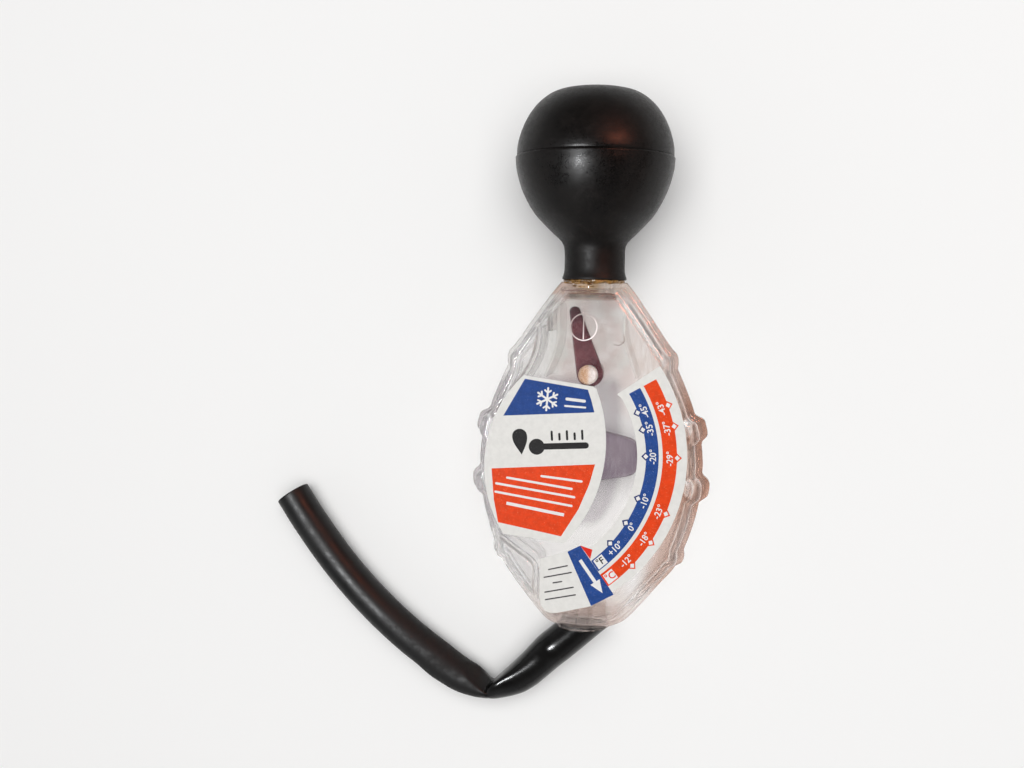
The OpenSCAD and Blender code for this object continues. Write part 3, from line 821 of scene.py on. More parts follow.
def build_hose():
    st = catmull(edge_stations(), 0.75)
    line = np.c_[(st[:, :2] + st[:, 2:4]) / 2, st[:, 4]]
    tan = np.gradient(line, axis=0)
    tan /= np.linalg.norm(tan, axis=1)[:, None]
    n = 56
    ang = 2 * math.pi * np.arange(n) / n
    rings = []
    for q, c, t in zip(st, line, tan):
        b, sq, crest, facet, calm_z, calm_b = q[5:11]
        across = np.array([q[0] - q[2], q[1] - q[3], 0.0]) / 2
        a = np.linalg.norm(across)
        # out points to the outer side of the bend when walking from the cut end
        out = across / a
        up = np.cross(out, t) + [0, 0, 0.8]
        up -= out * (up @ out)
        up /= np.linalg.norm(up)
        co, si = np.cos(ang), np.sin(ang)
        p = a * np.sign(co) * np.abs(co) ** sq
        u = b * np.sign(si) * np.abs(si) ** sq
        lift = np.clip(si, 0, 1) ** 3
        p = p - crest * lift
        # facet on the inner upper side
        nn = np.array([-math.cos(math.radians(32)), math.sin(math.radians(32))])
        d = p * nn[0] + u * nn[1] - facet
        over = np.where(d > 0, d * 0.9, 0.0)
        p, u = p - over * nn[0], u - over * nn[1]
        ring = c + np.outer(p, out) + np.outer(u, up)
        # the fold only dents the inner side; the outer wall runs on round the bend
        w = np.clip(0.55 - 0.85 * p / a, 0, 1)
        calm = calm_z + u / b * calm_b
        ring[:, 2] = calm + (ring[:, 2] - calm) * w * w * (3 - 2 * w)
        # a slight swelling near the collar
        off = (c[0] + 10.9) ** 2 + (c[1] + 66.7) ** 2
        ring[:, 2] += 0.36 * math.exp(-off / 6.5) * np.clip(si, 0, 1) ** 2
        rings.append(ring)
    rings = np.array(rings)
    low = rings[:, :, 2].min()
    if low < 0.03:
        rings[:, :, 2] = np.maximum(rings[:, :, 2], 0.03)
    # the top end is cut along the collar's end face, and its edge is ragged
    face_n = np.array([0, TC, TS])
    face_d = -57.5 + LIE_Z * TS
    last = []
    t = tan[-1]
    for k, p in enumerate(rings[-1]):
        s = (face_d - face_n @ p) / (face_n @ t)
        last.append(p + s * t)
    last = np.array(last)
    # torn edge: it reaches up to a millimetre into the collar, differently at each point
    torn = np.array([0.5 + 0.5 * math.sin(12.9898 * k) * math.cos(4.1414 * k) for k in range(len(last))])
    # rings near the collar are pulled so that none passes the end face
    body = []
    for i, r in enumerate(rings[:-1]):
        left = len(rings) - 1 - i
        if left < 18:
            r = r + (last - rings[-1]) * (1 - left / 18.0) ** 2
        body.append(r)
    rings = body + [last + np.outer(0.1 + 0.95 * torn, t)]
    # the cut end: a chamfered edge, the wall's end face and the bore
    t0 = -tan[0]
    c0 = line[0]

    def end_ring(r, back):
        o = np.cross(tan[0], [0, 0, 1.0])
        o /= np.linalg.norm(o)
        u = np.cross(o, tan[0])
        return c0 + np.outer(r * np.cos(ang), o) + np.outer(r * np.sin(ang), u) - t0 * back

    bore = 3.1
    front = [
        end_ring(bore - 0.02, 16.0), end_ring(bore, 12.0), end_ring(bore, 6.0), end_ring(bore, 1.0),
        end_ring(bore + 0.05, 0.25), end_ring(bore + 0.25, 0.02), end_ring(4.5, 0.0),
        end_ring(R - 0.3, 0.01), end_ring(R - 0.08, 0.12), end_ring(R, 0.4),
    ]
    rings = front + rings[1:]
    verts, faces = bridge(rings, cap_first=True, cap_last=True)
    me = mesh_of("hose", np.array(verts) + np.array([0, SHIFT_Y, 0]), faces)
    o = piece("hose", me, mat_hose, "tester", ["suction_hose"], where="row", angle=50)
    centres = np.array([r.mean(axis=0) for r in rings[len(front) - 1:]])
    path = (centres + np.array([0, SHIFT_Y, 0])) * 0.001
    long = float(np.linalg.norm(np.diff(path, axis=0), axis=1).sum())
    return o, long


hose, hose_long = build_hose()

# ---------------------------------------------------------------- shells
# Right half of the body's outline from the lower end up, as in part.scad:
# height, half width without the lugs, and how far a lug stands out there.
SIDE = [
    (-57, 9.6, 0), (-55.4, 12.8, 0), (-53, 15.4, 0), (-50, 18, 0), (-46, 21.3, 0),
    (-42, 24.4, 0), (-38, 27.2, 0), (-36, 28.4, 0), (-35, 29, 1.2), (-33.6, 29.7, 1.2),
    (-32, 30.3, 0.8), (-30.6, 30.8, 0.1), (-28, 31.8, 0), (-25, 32.8, 0), (-20, 34.2, 0),
    (-15.2, 35.15, 0), (-14.3, 35.3, 0.8), (-13.0, 35.5, 2.2), (-11.2, 35.7, 2.5),
    (-8.7, 35.8, 2.45), (-7.7, 35.85, 1.9), (-6.3, 35.9, 0.35), (-5.6, 35.9, 0), (-3, 36, 0), (0, 35.8, 0),
    (3.4, 35.4, 0), (4.5, 35.2, 0.4), (6.1, 34.85, 2.1), (7.3, 34.6, 2.55), (9.4, 34.1, 2.6),
    (11.4, 33.55, 2.35), (12.5, 33.15, 0.5), (13.2, 32.95, 0), (16, 32, 0), (20, 30.4, 0),
    (25, 28.2, 0), (27.2, 27.2, 0), (28.2, 26.9, 0.5), (30.6, 26.4, 0.9), (32, 25.8, 0.9),
    (33.2, 25.3, 0.2), (38, 22, 0), (42, 19.3, 0), (46, 16.5, 0), (50, 13.6, 0), (54, 10.4, 0),
]


def outline():
    s = np.array(SIDE, float)
    base = catmull(s[:, [1, 0, 2]], 0.8)  # x, y, lug
    base[:, 2] = np.maximum(base[:, 2], 0)
    t = np.gradient(base[:, :2], axis=0)
    t /= np.linalg.norm(t, axis=1)[:, None]
    n = np.c_[t[:, 1], -t[:, 0]]
    n[0] = (n[0] + [0, -1]) / (1 + n[0] @ [0, -1])
    n[-1] = (n[-1] + [0, 1]) / (1 + n[-1] @ [0, 1])
    right = np.c_[base, n]
    # the moulding is a little narrower on the right of its lower end
    low = np.clip((-36 - right[:, 1]) / 8, 0, 1)
    left = right[::-1].copy()
    left[:, 0] *= -1
    left[:, 2] *= -1
    left[:, 3] *= -1
    right[:, 0] -= 0.9 * low * low * (3 - 2 * low)
    return np.vstack([right, left])


LOOP = outline()


def loop_at(inset, share, z):
    # towards the top end the wall slopes in further before it meets the panel
    p = LOOP
    x = np.clip(p[:, 0] - inset * p[:, 3] + p[:, 2] * share, -38.45, 38.45)
    y = p[:, 1] - inset * p[:, 4]
    return np.c_[x, y, np.full(len(p), float(z))]


OUTSIDE = [
    (0.0, 1, -1.0), (0.0, 1, 1.15), (0.1, 1, 1.38), (0.32, 0.99, 1.5), (1.15, 0.95, 1.56),
    (1.5, 0.92, 1.75), (1.68, 0.9, 2.3), (1.85, 0.87, 5.5), (2.05, 0.84, 8.9),
    (2.3, 0.8, 10.2), (2.75, 0.72, 11.15), (3.4, 0.64, 11.75), (4.1, 0.58, 12.0),
]
INSIDE = [
    (3.35, 0.84, -1.0), (3.4, 0.83, 1.5), (3.6, 0.78, 5.5), (3.9, 0.72, 8.4), (4.4, 0.64, 9.5),
    (5.1, 0.55, 10.05), (5.9, 0.5, 10.2),
]


def solid(levels, name):
    rings = [loop_at(*l) for l in levels]
    v, f = bridge(rings, cap_first=True, cap_last=True)
    return scratch(name, v, f)


def end_profiles():
    top = [(0, 48.6), (7.9, 48.6), (7.9, 52), (8.9, 52), (8.9, 54), (7.5, 54), (7.5, 55.6), (8, 56.2),
           (7.5, 58.2), (8, 58.8), (7.5, 60.8), (8, 61.4), (7.1, 64), (0, 64)]
    low = [(0, -49.6), (7.4, -49.6), (7.4, -55)]
    y = -55.0
    while y > -57.0:  # fine turned rings on the lower collar
        low += [(8.5, y), (8.5, y - 0.45), (8.3, y - 0.6), (8.5, y - 0.75)]
        y -= 0.8
    low += [(8.5, -57.5), (3.4, -57.5), (3.4, -59.3), (3.6, -59.6), (2.8, -60.7), (0, -60.7)]
    return top, low


def wall_along(points, thick, z0, z1):
    p = catmull(points, 0.8)
    t = np.gradient(p, axis=0)
    t /= np.linalg.norm(t, axis=1)[:, None]
    n = np.c_[t[:, 1], -t[:, 0]]
    return plate(np.vstack([p + n * thick / 2, (p - n * thick / 2)[::-1]]), z0, z1)


def wall_filleted(points, thick, far, side):
    """A wall that widens where it grows out of the panel on that side (1 front, -1 rear)."""
    p = catmull(points, 0.8)
    t = np.gradient(p, axis=0)
    t /= np.linalg.norm(t, axis=1)[:, None]
    n = np.c_[t[:, 1], -t[:, 0]]
    rings = []
    for th, z in ((thick, far), (thick, 8.6), (thick + 0.3, 9.4), (thick + 0.9, 9.9), (thick + 2.0, 10.24),
                  (thick + 2.0, 10.9)):
        q = np.vstack([p + n * th / 2, (p - n * th / 2)[::-1]])
        rings.append(np.c_[q, np.full(len(q), z * side)])
    return bridge(rings, cap_first=True, cap_last=True)


ARC_L = [(-15.85 - 0.0232 * (y - 38.0) ** 2, y) for y in (46.5, 44.5, 42, 39.5, 37, 34, 31, 28, 25, 22, 19)]
FACET_R = [(14.3, 45.2), (15.3, 43.9), (16.8, 41.8), (19.1, 38.7), (21.3, 35.7), (23.2, 32.9), (23.75, 30.1),
           (23.4, 26.8), (22.6, 23)]
FACET_L = [(-29.5, -25.5), (-27.1, -27.5), (-21.4, -31.6), (-16.6, -35.0), (-15.55, -36.8), (-15.4, -41.5),
           (-15.5, -50)]


def box_solid(x0, y0, z0, x1, y1, z1):
    v = [(x, y, z) for x in (x0, x1) for y in (y0, y1) for z in (z0, z1)]
    f = [(0, 1, 3, 2), (4, 6, 7, 5), (0, 4, 5, 1), (2, 3, 7, 6), (0, 2, 6, 4), (1, 5, 7, 3)]
    return v, f


def cyl(r, c, z0, z1, sides=64):
    return lathe([(0, z0), (r, z0), (r, z1), (0, z1)], sides=sides, axis="Z", centre=c)


def rod(p, q, r, sides=12):
    """A round bar with pointed ends from p to q."""
    p, q = np.array(p, float), np.array(q, float)
    d = (q - p) / np.linalg.norm(q - p)
    a = np.cross(d, [0, 0, 1.0])
    a /= np.linalg.norm(a)
    b = np.cross(d, a)
    rings = []
    for t, rr in ((0, 0.15), (0.03, 0.7), (0.1, 1), (0.9, 1), (0.97, 0.7), (1, 0.15)):
        c = p + (q - p) * t
        rings.append([c + r * rr * (math.cos(2 * math.pi * k / sides) * a + math.sin(2 * math.pi * k / sides) * b)
                      for k in range(sides)])
    return bridge(rings, cap_first=True, cap_last=True)


FACET_T = [(-12.4, 38.5), (-12.5, 41.5), (-12.6, 44.5), (-11.3, 46.6), (-9.0, 49.6)]
RIB_R = [(7.7, 49.8), (9.2, 47.5), (10.5, 45.3), (10.5, 42.6), (10.4, 40.0), (10.9, 35.6), (12.4, 31.0), (14.7, 24.2)]
RIB_L = [(-10.2, 47), (-10.2, 38), (-10.8, 33), (-12.2, 28.6), (-14.2, 24)]


def inside_hull(line, thick, far, front):
    """A wall along the line, cut off where it would stand out of the shell."""
    hull = solid([(i + 0.7, s, z - 0.5 if z > 2 else z) for i, s, z in OUTSIDE], "hull")
    if not front:
        flip_z(hull.data)
    return boolean(hull, scratch("wall", *wall_filleted(line, thick, far, 1 if front else -1)), "INTERSECT")


def flip_z(me):
    me.transform(Matrix.Diagonal((1, 1, -1, 1)))
    me.flip_normals()


def build_shell(front):
    body = solid(OUTSIDE, "shell")
    boolean(body, solid(INSIDE, "cavity"), "DIFFERENCE")
    if not front:
        flip_z(body.data)
    top, low = end_profiles()
    boolean(body, scratch("plug_top", *lathe(rounded(top, 0.12, 2), sides=96)), "UNION")
    boolean(body, scratch("plug_low", *lathe(low, x=-1, sides=96)), "UNION")
    if front:
        for line, thick in ((ARC_L, 0.9), (FACET_R, 0.9), (FACET_L, 0.9), (FACET_T, 0.5)):
            boolean(body, inside_hull(line, thick, -0.9, True), "UNION")
        boolean(body, scratch("boss", *cyl(3.1, FLOAT_C, -1.8, 11.0)), "UNION")
        # ejector pin's mark under the panel
        boolean(body, scratch("mark", *cyl(2.2, (8.9, 36.6), 9.0, 10.55, 48)), "DIFFERENCE")
        # fine moulded ridges across the lower end
        rods = []
        for k in range(9):
            y = -50.6 - 0.48 * k
            z = 11.98 if y > -52.6 else 11.98 - (abs(y) - 52.6) * 0.34
            rods.append(rod((-14.5 + 0.4 * k, y + 0.25, z), (12.2 - 0.3 * k, y - 0.2, z), 0.17))
        ridges = solid([(i - 0.12, s, z + 0.12 if z > 2 else z) for i, s, z in OUTSIDE], "ridges")
        boolean(ridges, scratch("rods", *join_meshes(rods)), "INTERSECT")
        boolean(body, ridges, "UNION")
        boolean(body, scratch("boss_bore", *cyl(1.2, FLOAT_C, -3.0, 5.0)), "DIFFERENCE")
    else:
        for rib in (RIB_R, RIB_L):
            boolean(body, scratch("rib", *wall_along(rib, 0.8, -10.4, 7.4)), "UNION")
        for line, thick in ((ARC_L, 0.9), (FACET_R, 0.9), (FACET_L, 0.9), (FACET_T, 0.5)):
            boolean(body, inside_hull(line, thick, -0.9, False), "UNION")
        boolean(body, scratch("boss", *cyl(3.1, FLOAT_C, -10.6, -6.4)), "UNION")
        boolean(body, scratch("boss2", *cyl(3.2, LEVEL_C, -10.6, 1.6)), "UNION")
        boolean(body, scratch("bore1", *cyl(1.2, FLOAT_C, -11.0, -2.0)), "DIFFERENCE")
        boolean(body, scratch("bore2", *cyl(1.2, LEVEL_C, -9.0, 5.0)), "DIFFERENCE")
    boolean(body, scratch("bore_top", *lathe([(0, 45), (5.4, 45), (5.4, 70), (0, 70)], sides=64)), "DIFFERENCE")
    boolean(body, scratch("bore_low", *lathe([(0, -66), (2.2, -66), (2.2, -46), (0, -46)], x=-1, sides=48)),
            "DIFFERENCE")
    if front:
        ring = lathe(rounded([(3.92, 11.8), (4.28, 11.8), (4.28, 12.6), (3.92, 12.6)], 0.04, 1),
                     sides=96, axis="Z", centre=(-1.7, 40))
        boolean(body, scratch("mark_ring", *ring), "DIFFERENCE")
        boolean(body, scratch("mark_line", *box_solid(-1.9, 36.2, 11.79, -1.6, 43.0, 12.6)), "DIFFERENCE")
        boolean(body, scratch("half", *box_solid(-80, -90, -30, 80, 90, 0.015)), "DIFFERENCE")
    else:
        boolean(body, scratch("half", *box_solid(-80, -90, -0.015, 80, 90, 30)), "DIFFERENCE")
        # the ribs stand above the parting plane, inside the front half
        for rib in (RIB_R, RIB_L):
            boolean(body, scratch("rib", *wall_along(rib, 0.8, -9.0, 7.4)), "UNION")
        up = cyl(3.2, LEVEL_C, -9.5, 1.6)
        boolean(body, scratch("boss2", *up), "UNION")
        boolean(body, scratch("bore2", *cyl(1.2, LEVEL_C, -9.0, 5.0)), "DIFFERENCE")
    me = body.data.copy()
    bpy.data.objects.remove(body)
    return me


me_front = build_shell(True)
me_rear = build_shell(False)


def mark_faces(me):
    """Faces of the moulded ring and line, which are frosted."""
    out = []
    for p in me.polygons:
        c = p.center
        d = math.hypot(c.x + 1.7, c.y - 40)
        on = (3.9 < d < 4.3) or (-1.95 < c.x < -1.55 and 36.1 < c.y < 43.1)
        out.append(1 if on and 11.6 < c.z < 11.99 else 0)
    return out


marked = mark_faces(me_front)
clear_front = piece("clear_front_half", me_front, [mat_front, mat_etch], "tester", ["front_shell"],
                    angle=38, flats=True)
clear_front.data.polygons.foreach_set("material_index", marked)
clear_rear = piece("clear_rear_half", me_rear, mat_rear, "tester", ["rear_shell"], angle=38,
                   flats=True)

# ---------------------------------------------------------------- bulb
inner = BULB_R - 2.4


def build_bulb():
    outer = [(8.05, 54.75), (9.9, 54.72), (10.15, 54.8), (10.27, 55.05), (10.2, 55.5), (9.92, 56.2), (9.7, 57.2),
             (9.62, 58.6), (9.6, 60.5), (9.62, 62.5), (9.65, 64.0), (9.9, 65.4), (10.55, 66.7), (11.7, 67.9),
             (13.4, 69.4)]
    lower = catmull([(13.4, 69.4), (16.0, 72.0), (18.85, 75.2), (21.1, 78.8), (22.95, 82.6), (24.2, 86.4),
                     (24.98, 90.0), (25.16, 92.4)], 0.7)
    seam = [(25.2, 92.75), (25.18, 93.0), (25.05, 93.14), (24.86, 93.2), (24.72, 93.3), (24.68, 93.45),
            (24.78, 93.58)]
    upper = catmull([(24.83, 93.7), (24.75, 96.0), (24.05, 99.3), (22.8, 102.9), (20.98, 106.4), (18.75, 109.3),
                     (16.3, 111.5), (14.2, 112.8), (12.3, 113.55), (10.6, 113.95)], 0.7)
    flat = [(9.4, 114.12), (7.8, 114.18), (4.5, 114.12), (0, 114.05)]
    inside = [(0, BULB_Y + inner - 1.6)] + [
        (inner * math.cos(math.radians(a)), BULB_Y + (inner - 1.6) * math.sin(math.radians(a)))
        for a in range(84, -67, -6)] + [(8.05, 68.4)]
    prof = outer[:-1] + [tuple(p) for p in lower] + seam + [tuple(p) for p in upper] + flat + inside

    def wobble(r, h, a):
        if r < 8.2 or (h > 60 and r < inner + 0.05 and False):
            return 0.0
        n = noise.noise(Vector((math.cos(a) * r * 0.05, h * 0.045, math.sin(a) * r * 0.05 + 3.1)))
        return -0.05 + 0.05 * n if r > 9.5 else 0.0

    return lathe(prof, sides=160, wobble=wobble)


v, f = build_bulb()
# the soft neck lets the bulb lean a little to the left
v = [(x - 0.65 * (t * t * (3 - 2 * t)), y, z) for x, y, z in v for t in [min(1.0, max(0.0, (y - 58.0) / 26.0))]]
bulb = piece("bulb", mesh_of("bulb", v, f), mat_bulb, "tester", ["squeeze_bulb"], angle=40)


# ---------------------------------------------------------------- cement
def bead(centre_y, radius, thick, sides, around, seed, x=0.0, span=(0, 360), rough=0.45):
    rings = []
    a0, a1 = span
    full = abs(a1 - a0) >= 359.9
    n = sides
    count = n if full else n + 1
    for i in range(count):
        a = math.radians(a0 + (a1 - a0) * i / n)
        grow = 1.0 if full else max(0.05, math.sin(math.pi * min(1, max(0, i / n))) ** 0.4)
        ring = []
        for k in range(around):
            b = 2 * math.pi * k / around
            w = noise.noise(Vector((math.cos(a) * 3.2 + seed, math.sin(a) * 3.2, b * 0.35)))
            w2 = noise.noise(Vector((math.cos(a) * 11 + seed, math.sin(a) * 11, math.sin(b) * 1.2)))
            t = thick * grow * (1 + rough * w + 0.35 * w2)
            r = radius + t * math.cos(b) * 1.1
            h = centre_y + t * math.sin(b) * 0.9
            ring.append((x + r * math.cos(a), h, r * math.sin(a)))
        rings.append(ring)
    if full:
        return bridge(rings, loop=True)
    return bridge(rings, cap_first=True, cap_last=True)


v, f = bead(54.3, 9.0, 0.62, 220, 14, 1.7)
cement_bead = piece("cement_bead", mesh_of("cement_bead", v, f), mat_cement, "tester", ["neck_cement"],
                    angle=60)


def smears():
    """Drips of dried cement on the clear collar, below the neck."""
    rng = np.random.default_rng(11)
    parts = []
    spots = [(-6.6, 53.7, 8.0, 1.2, 0.28), (-4.4, 53.6, 8.8, 1.0, 0.3), (-2.0, 53.8, 9.1, 1.2, 0.3),
             (-0.6, 53.4, 9.2, 0.8, 0.25), (1.4, 53.7, 9.1, 0.9, 0.22), (-5.2, 52.7, 9.0, 0.7, 0.2),
             (-2.9, 52.5, 9.5, 0.9, 0.2), (0.4, 52.6, 9.6, 0.6, 0.18), (5.6, 53.7, 7.9, 0.8, 0.2),
             (-8.0, 53.7, 6.4, 0.7, 0.22)]
    for cx, cy, cz, w, h in spots:
        n, m = 20, 12
        verts, faces = [], []
        seed = float(rng.uniform(0, 50))
        rows = []
        for i in range(m + 1):
            th = math.pi * i / m
            row = []
            for k in range(n if 0 < i < m else 1):
                ph = 2 * math.pi * k / n
                d = Vector((math.sin(th) * math.cos(ph), math.sin(th) * math.sin(ph), math.cos(th)))
                g = 1 + 0.42 * noise.noise(d * 1.7 + Vector((seed, 0, 0)))
                row.append(len(verts))
                verts.append((cx + d.x * w * g, cy + d.y * h * g * 1.25, cz + d.z * 0.33 * g - 0.045 * (d.x * w) ** 2))
            rows.append(row)
        for i in range(m):
            a, b = rows[i], rows[i + 1]
            for k in range(n):
                k2 = (k + 1) % n
                if len(a) == 1:
                    faces.append((a[0], b[k], b[k2]))
                elif len(b) == 1:
                    faces.append((a[k], b[0], a[k2]))
                else:
                    faces.append((a[k], b[k], b[k2], a[k2]))
        parts.append((verts, faces))
    return join_meshes(parts)


def residue():
    m = Mat("residue_look")
    n = m.noise(1.4, 4.0, 0.6)
    p = m.principled(Base_Color=m.mix(n, (0.045, 0.009, 0.006), (0.17, 0.06, 0.035)), Roughness=0.35)
    return m.done(p.outputs[0])


v, f = smears()
piece("cement_smears", mesh_of("cement_smears", v, f), mat_cement, "tester", angle=60)
lines = [[(-8.4, 51.25, 11.16), (-4, 51.3, 11.14), (0, 51.2, 11.18), (2.6, 51.3, 11.14)],
         [(-7.0, 50.35, 11.78), (-2, 50.5, 11.72), (3, 50.4, 11.76), (8.0, 50.3, 11.78)]]
parts = []
for line in lines:
    pl = catmull(line, 0.6)
    rings = []
    for i, q in enumerate(pl):
        w = 0.13 + 0.07 * noise.noise(Vector((q[0] * 0.9, q[1], 2.0)))
        w *= min(1.0, 0.2 + min(i, len(pl) - 1 - i) * 0.3)
        rings.append([(q[0], q[1] + w * 1.6 * math.cos(2 * math.pi * k / 10), q[2] + w * 0.8 * math.sin(2 * math.pi * k / 10))
                      for k in range(10)])
    parts.append(bridge(rings, cap_first=True, cap_last=True))
v, f = join_meshes(parts)
piece("collar_residue", mesh_of("collar_residue", v, f), residue(), "tester", angle=60)


# ---------------------------------------------------------------- pointer
def rot2(p, a, c):
    a = math.radians(a)
    x, y = p
    return (c[0] + x * math.cos(a) - y * math.sin(a), c[1] + x * math.sin(a) + y * math.cos(a))


def teardrop(big, small, far, step=6):
    k = math.degrees(math.asin((big - small) / far))
    pts = [(big * math.cos(math.radians(a)), big * math.sin(math.radians(a)))
           for a in np.arange(180 - k, 360 + k + 0.1, step)]
    pts += [(small * math.cos(math.radians(a)), far + small * math.sin(math.radians(a)))
            for a in np.arange(k, 180 - k + 0.1, step)]
    return pts


def soft_plate(outline, z0, z1, r=0.5, steps=4):
    """A moulded flat piece with all its edges rounded by r."""
    p = np.asarray(outline, float)
    area = 0.5 * np.sum(p[:, 0] * np.roll(p[:, 1], -1) - np.roll(p[:, 0], -1) * p[:, 1])
    if area < 0:
        p = p[::-1]
    a = p - np.roll(p, 1, 0)
    b = np.roll(p, -1, 0) - p
    a /= np.maximum(np.linalg.norm(a, axis=1), 1e-9)[:, None]
    b /= np.maximum(np.linalg.norm(b, axis=1), 1e-9)[:, None]
    na, nb = np.c_[a[:, 1], -a[:, 0]], np.c_[b[:, 1], -b[:, 0]]
    m = (na + nb) / np.maximum(1 + (na * nb).sum(1), 0.3)[:, None]
    rings = []
    for k in range(steps + 1):
        t = math.pi / 2 * k / steps
        rings.append(np.c_[p - m * (r * (1 - math.sin(t))), np.full(len(p), z0 + r * (1 - math.cos(t)))])
    for k in range(steps + 1):
        t = math.pi / 2 * k / steps
        rings.append(np.c_[p - m * (r * (1 - math.cos(t))), np.full(len(p), z1 - r + r * math.sin(t))])
    return bridge(rings, cap_first=True, cap_last=True)


pts = [rot2(p, LEAN, LEVEL_C) for p in teardrop(4.2, 1.65, 20.2)]
o = scratch("pointer_s", *soft_plate(pts, 2.0, 5.0, 0.55))
boolean(o, scratch("hole", *cyl(1.25, LEVEL_C, 0, 8)), "DIFFERENCE")
me = o.data.copy()
bpy.data.objects.remove(o)
pointer = piece("pointer", me, mat_pointer, "pointer", ["level_pointer"], angle=42, flats=True)

# ---------------------------------------------------------------- pins
pin_prof = [(0, -8.8), (1.2, -8.8), (1.2, 2.2), (1.2, 5.2), (2.0, 5.4), (2.0, 8.2), (3.05, 8.5), (3.05, 9.85),
            (2.98, 10.05), (2.86, 10.14), (2.7, 10.16), (2.55, 10.13), (1.9, 10.06), (1.2, 10.0), (0.55, 9.96),
            (0, 9.95)]
v, f = lathe(pin_prof, sides=72, axis="Z", centre=LEVEL_C)
pointer_pin = piece("pointer_pin", mesh_of("pointer_pin", v, f), mat_pin, "tester", ["level_pivot_pin"],
                    angle=30)
v, f = lathe(rounded([(0, -10.8), (1.2, -10.8), (1.2, 4.8), (0, 4.8)], 0.2, 3), sides=48, axis="Z", centre=FLOAT_C)
vane_pin = piece("vane_pin", mesh_of("vane_pin", v, f), mat_fpin, "tester", ["float_pivot_pin"],
                 angle=40)

# ---------------------------------------------------------------- vane
VANE = [(4, 3.4), (8, 5.4), (12, 7.2), (16, 8.1), (20, 8), (24, 7.2), (28, 6.4), (30, 5.7), (31.2, 4.6), (31.75, 2.9)]
right = catmull([(4.0, 3.4)] + VANE[1:] + [(31.85, 0.0)], 0.9)
half = [(3.0, 3.2)] + [tuple(p) for p in right[:-1]]
hub = [(4.4 * math.cos(math.radians(a)), 4.4 * math.sin(math.radians(a))) for a in range(50, 152, 6)]
tail = [(-8.6 + 3.4 * math.cos(math.radians(a)), 3.4 * math.sin(math.radians(a))) for a in range(60, 300, 8)]
upper = [(31.85, 0.0)] + [tuple(p) for p in right[:-1]][::-1] + hub[1:]
lower = [(x, -y) for x, y in upper[1:]][::-1]
vane_outline = upper + [(-4.6, 2.2), (-6.2, 2.4)] + tail + [(-6.2, -2.4), (-4.6, -2.2)] + lower
pts = [rot2(p, FLOAT_A, FLOAT_C) for p in vane_outline]
o = scratch("vane_s", *soft_plate(pts, -6.0, -2.2, 0.7))
wc = rot2((-8.6, 0), FLOAT_A, FLOAT_C)
boolean(o, scratch("hole", *cyl(1.25, FLOAT_C, -8, 0)), "DIFFERENCE")
boolean(o, scratch("hole2", *cyl(2.1, wc, -8, 0)), "DIFFERENCE")
me = o.data.copy()
bpy.data.objects.remove(o)
vane = piece("vane", me, mat_vane, "float", ["reading_float"], angle=42, flats=True)
v, f = lathe(rounded([(0, -5.8), (2.1, -5.8), (2.1, -2.4), (0, -2.4)], 0.2, 3), sides=48, axis="Z", centre=wc)
vane_weight = piece("vane_weight", mesh_of("vane_weight", v, f), mat_steel, "float",
                    ["float_weight"], angle=40)

# ---------------------------------------------------------------- stickers
Z_S0, Z_S1 = 12.005, 12.12      # the film
Z_I1, Z_I2 = 12.145, 12.17      # first and second layer of ink
MAIN = ([(-20.2, 24.5), (1.6, 21.7)] + arc3((2.7, 21), (6.1, 1.5), (-6.3, -28.2), 60) + [(-25.9, -26.3)]
        + arc3((-26.1, -26), (-32.4, -5), (-20.6, 24.2), 60))
# the scale's arcs as printed, about their own centre, a little off the vane's
SC = (-21.4, -0.1)


def printed(r, a):
    """The print spreads a little towards its lower end."""
    low = max(0.0, -22.0 - a)
    return polar(r + 0.0009 * low * low, a, SC)


def band(r0, r1, a0, a1, step=1.0):
    n = max(2, int(abs(a1 - a0) / step) + 1)
    t = [a0 + (a1 - a0) * k / (n - 1) for k in range(n)]
    return [printed(r0, a) for a in t] + [printed(r1, a) for a in t[::-1]]


SCALE = ([polar(52.1, a, SC) for a in np.arange(-55.5, 33.6, 1.0)] + [(9.0, 19.5)]
         + [polar(36.75, a, SC) for a in np.arange(30.0, -52.1, -1.0)]
         + [(-1.9, -28.5), (-6.2, -30.8), (-14.5, -33.8), (-14.7, -46), (-14.2, -48.6), (-12.9, -50.4), (-11, -51),
            (-9, -50.9), (1.9, -47.9)])


def ink(outlines, layer=1):
    z0, z1 = (Z_S1 - 0.02, Z_I1) if layer == 1 else (Z_I1 - 0.02, Z_I2)
    return join_meshes([plate(p, z0, z1) for p in outlines])


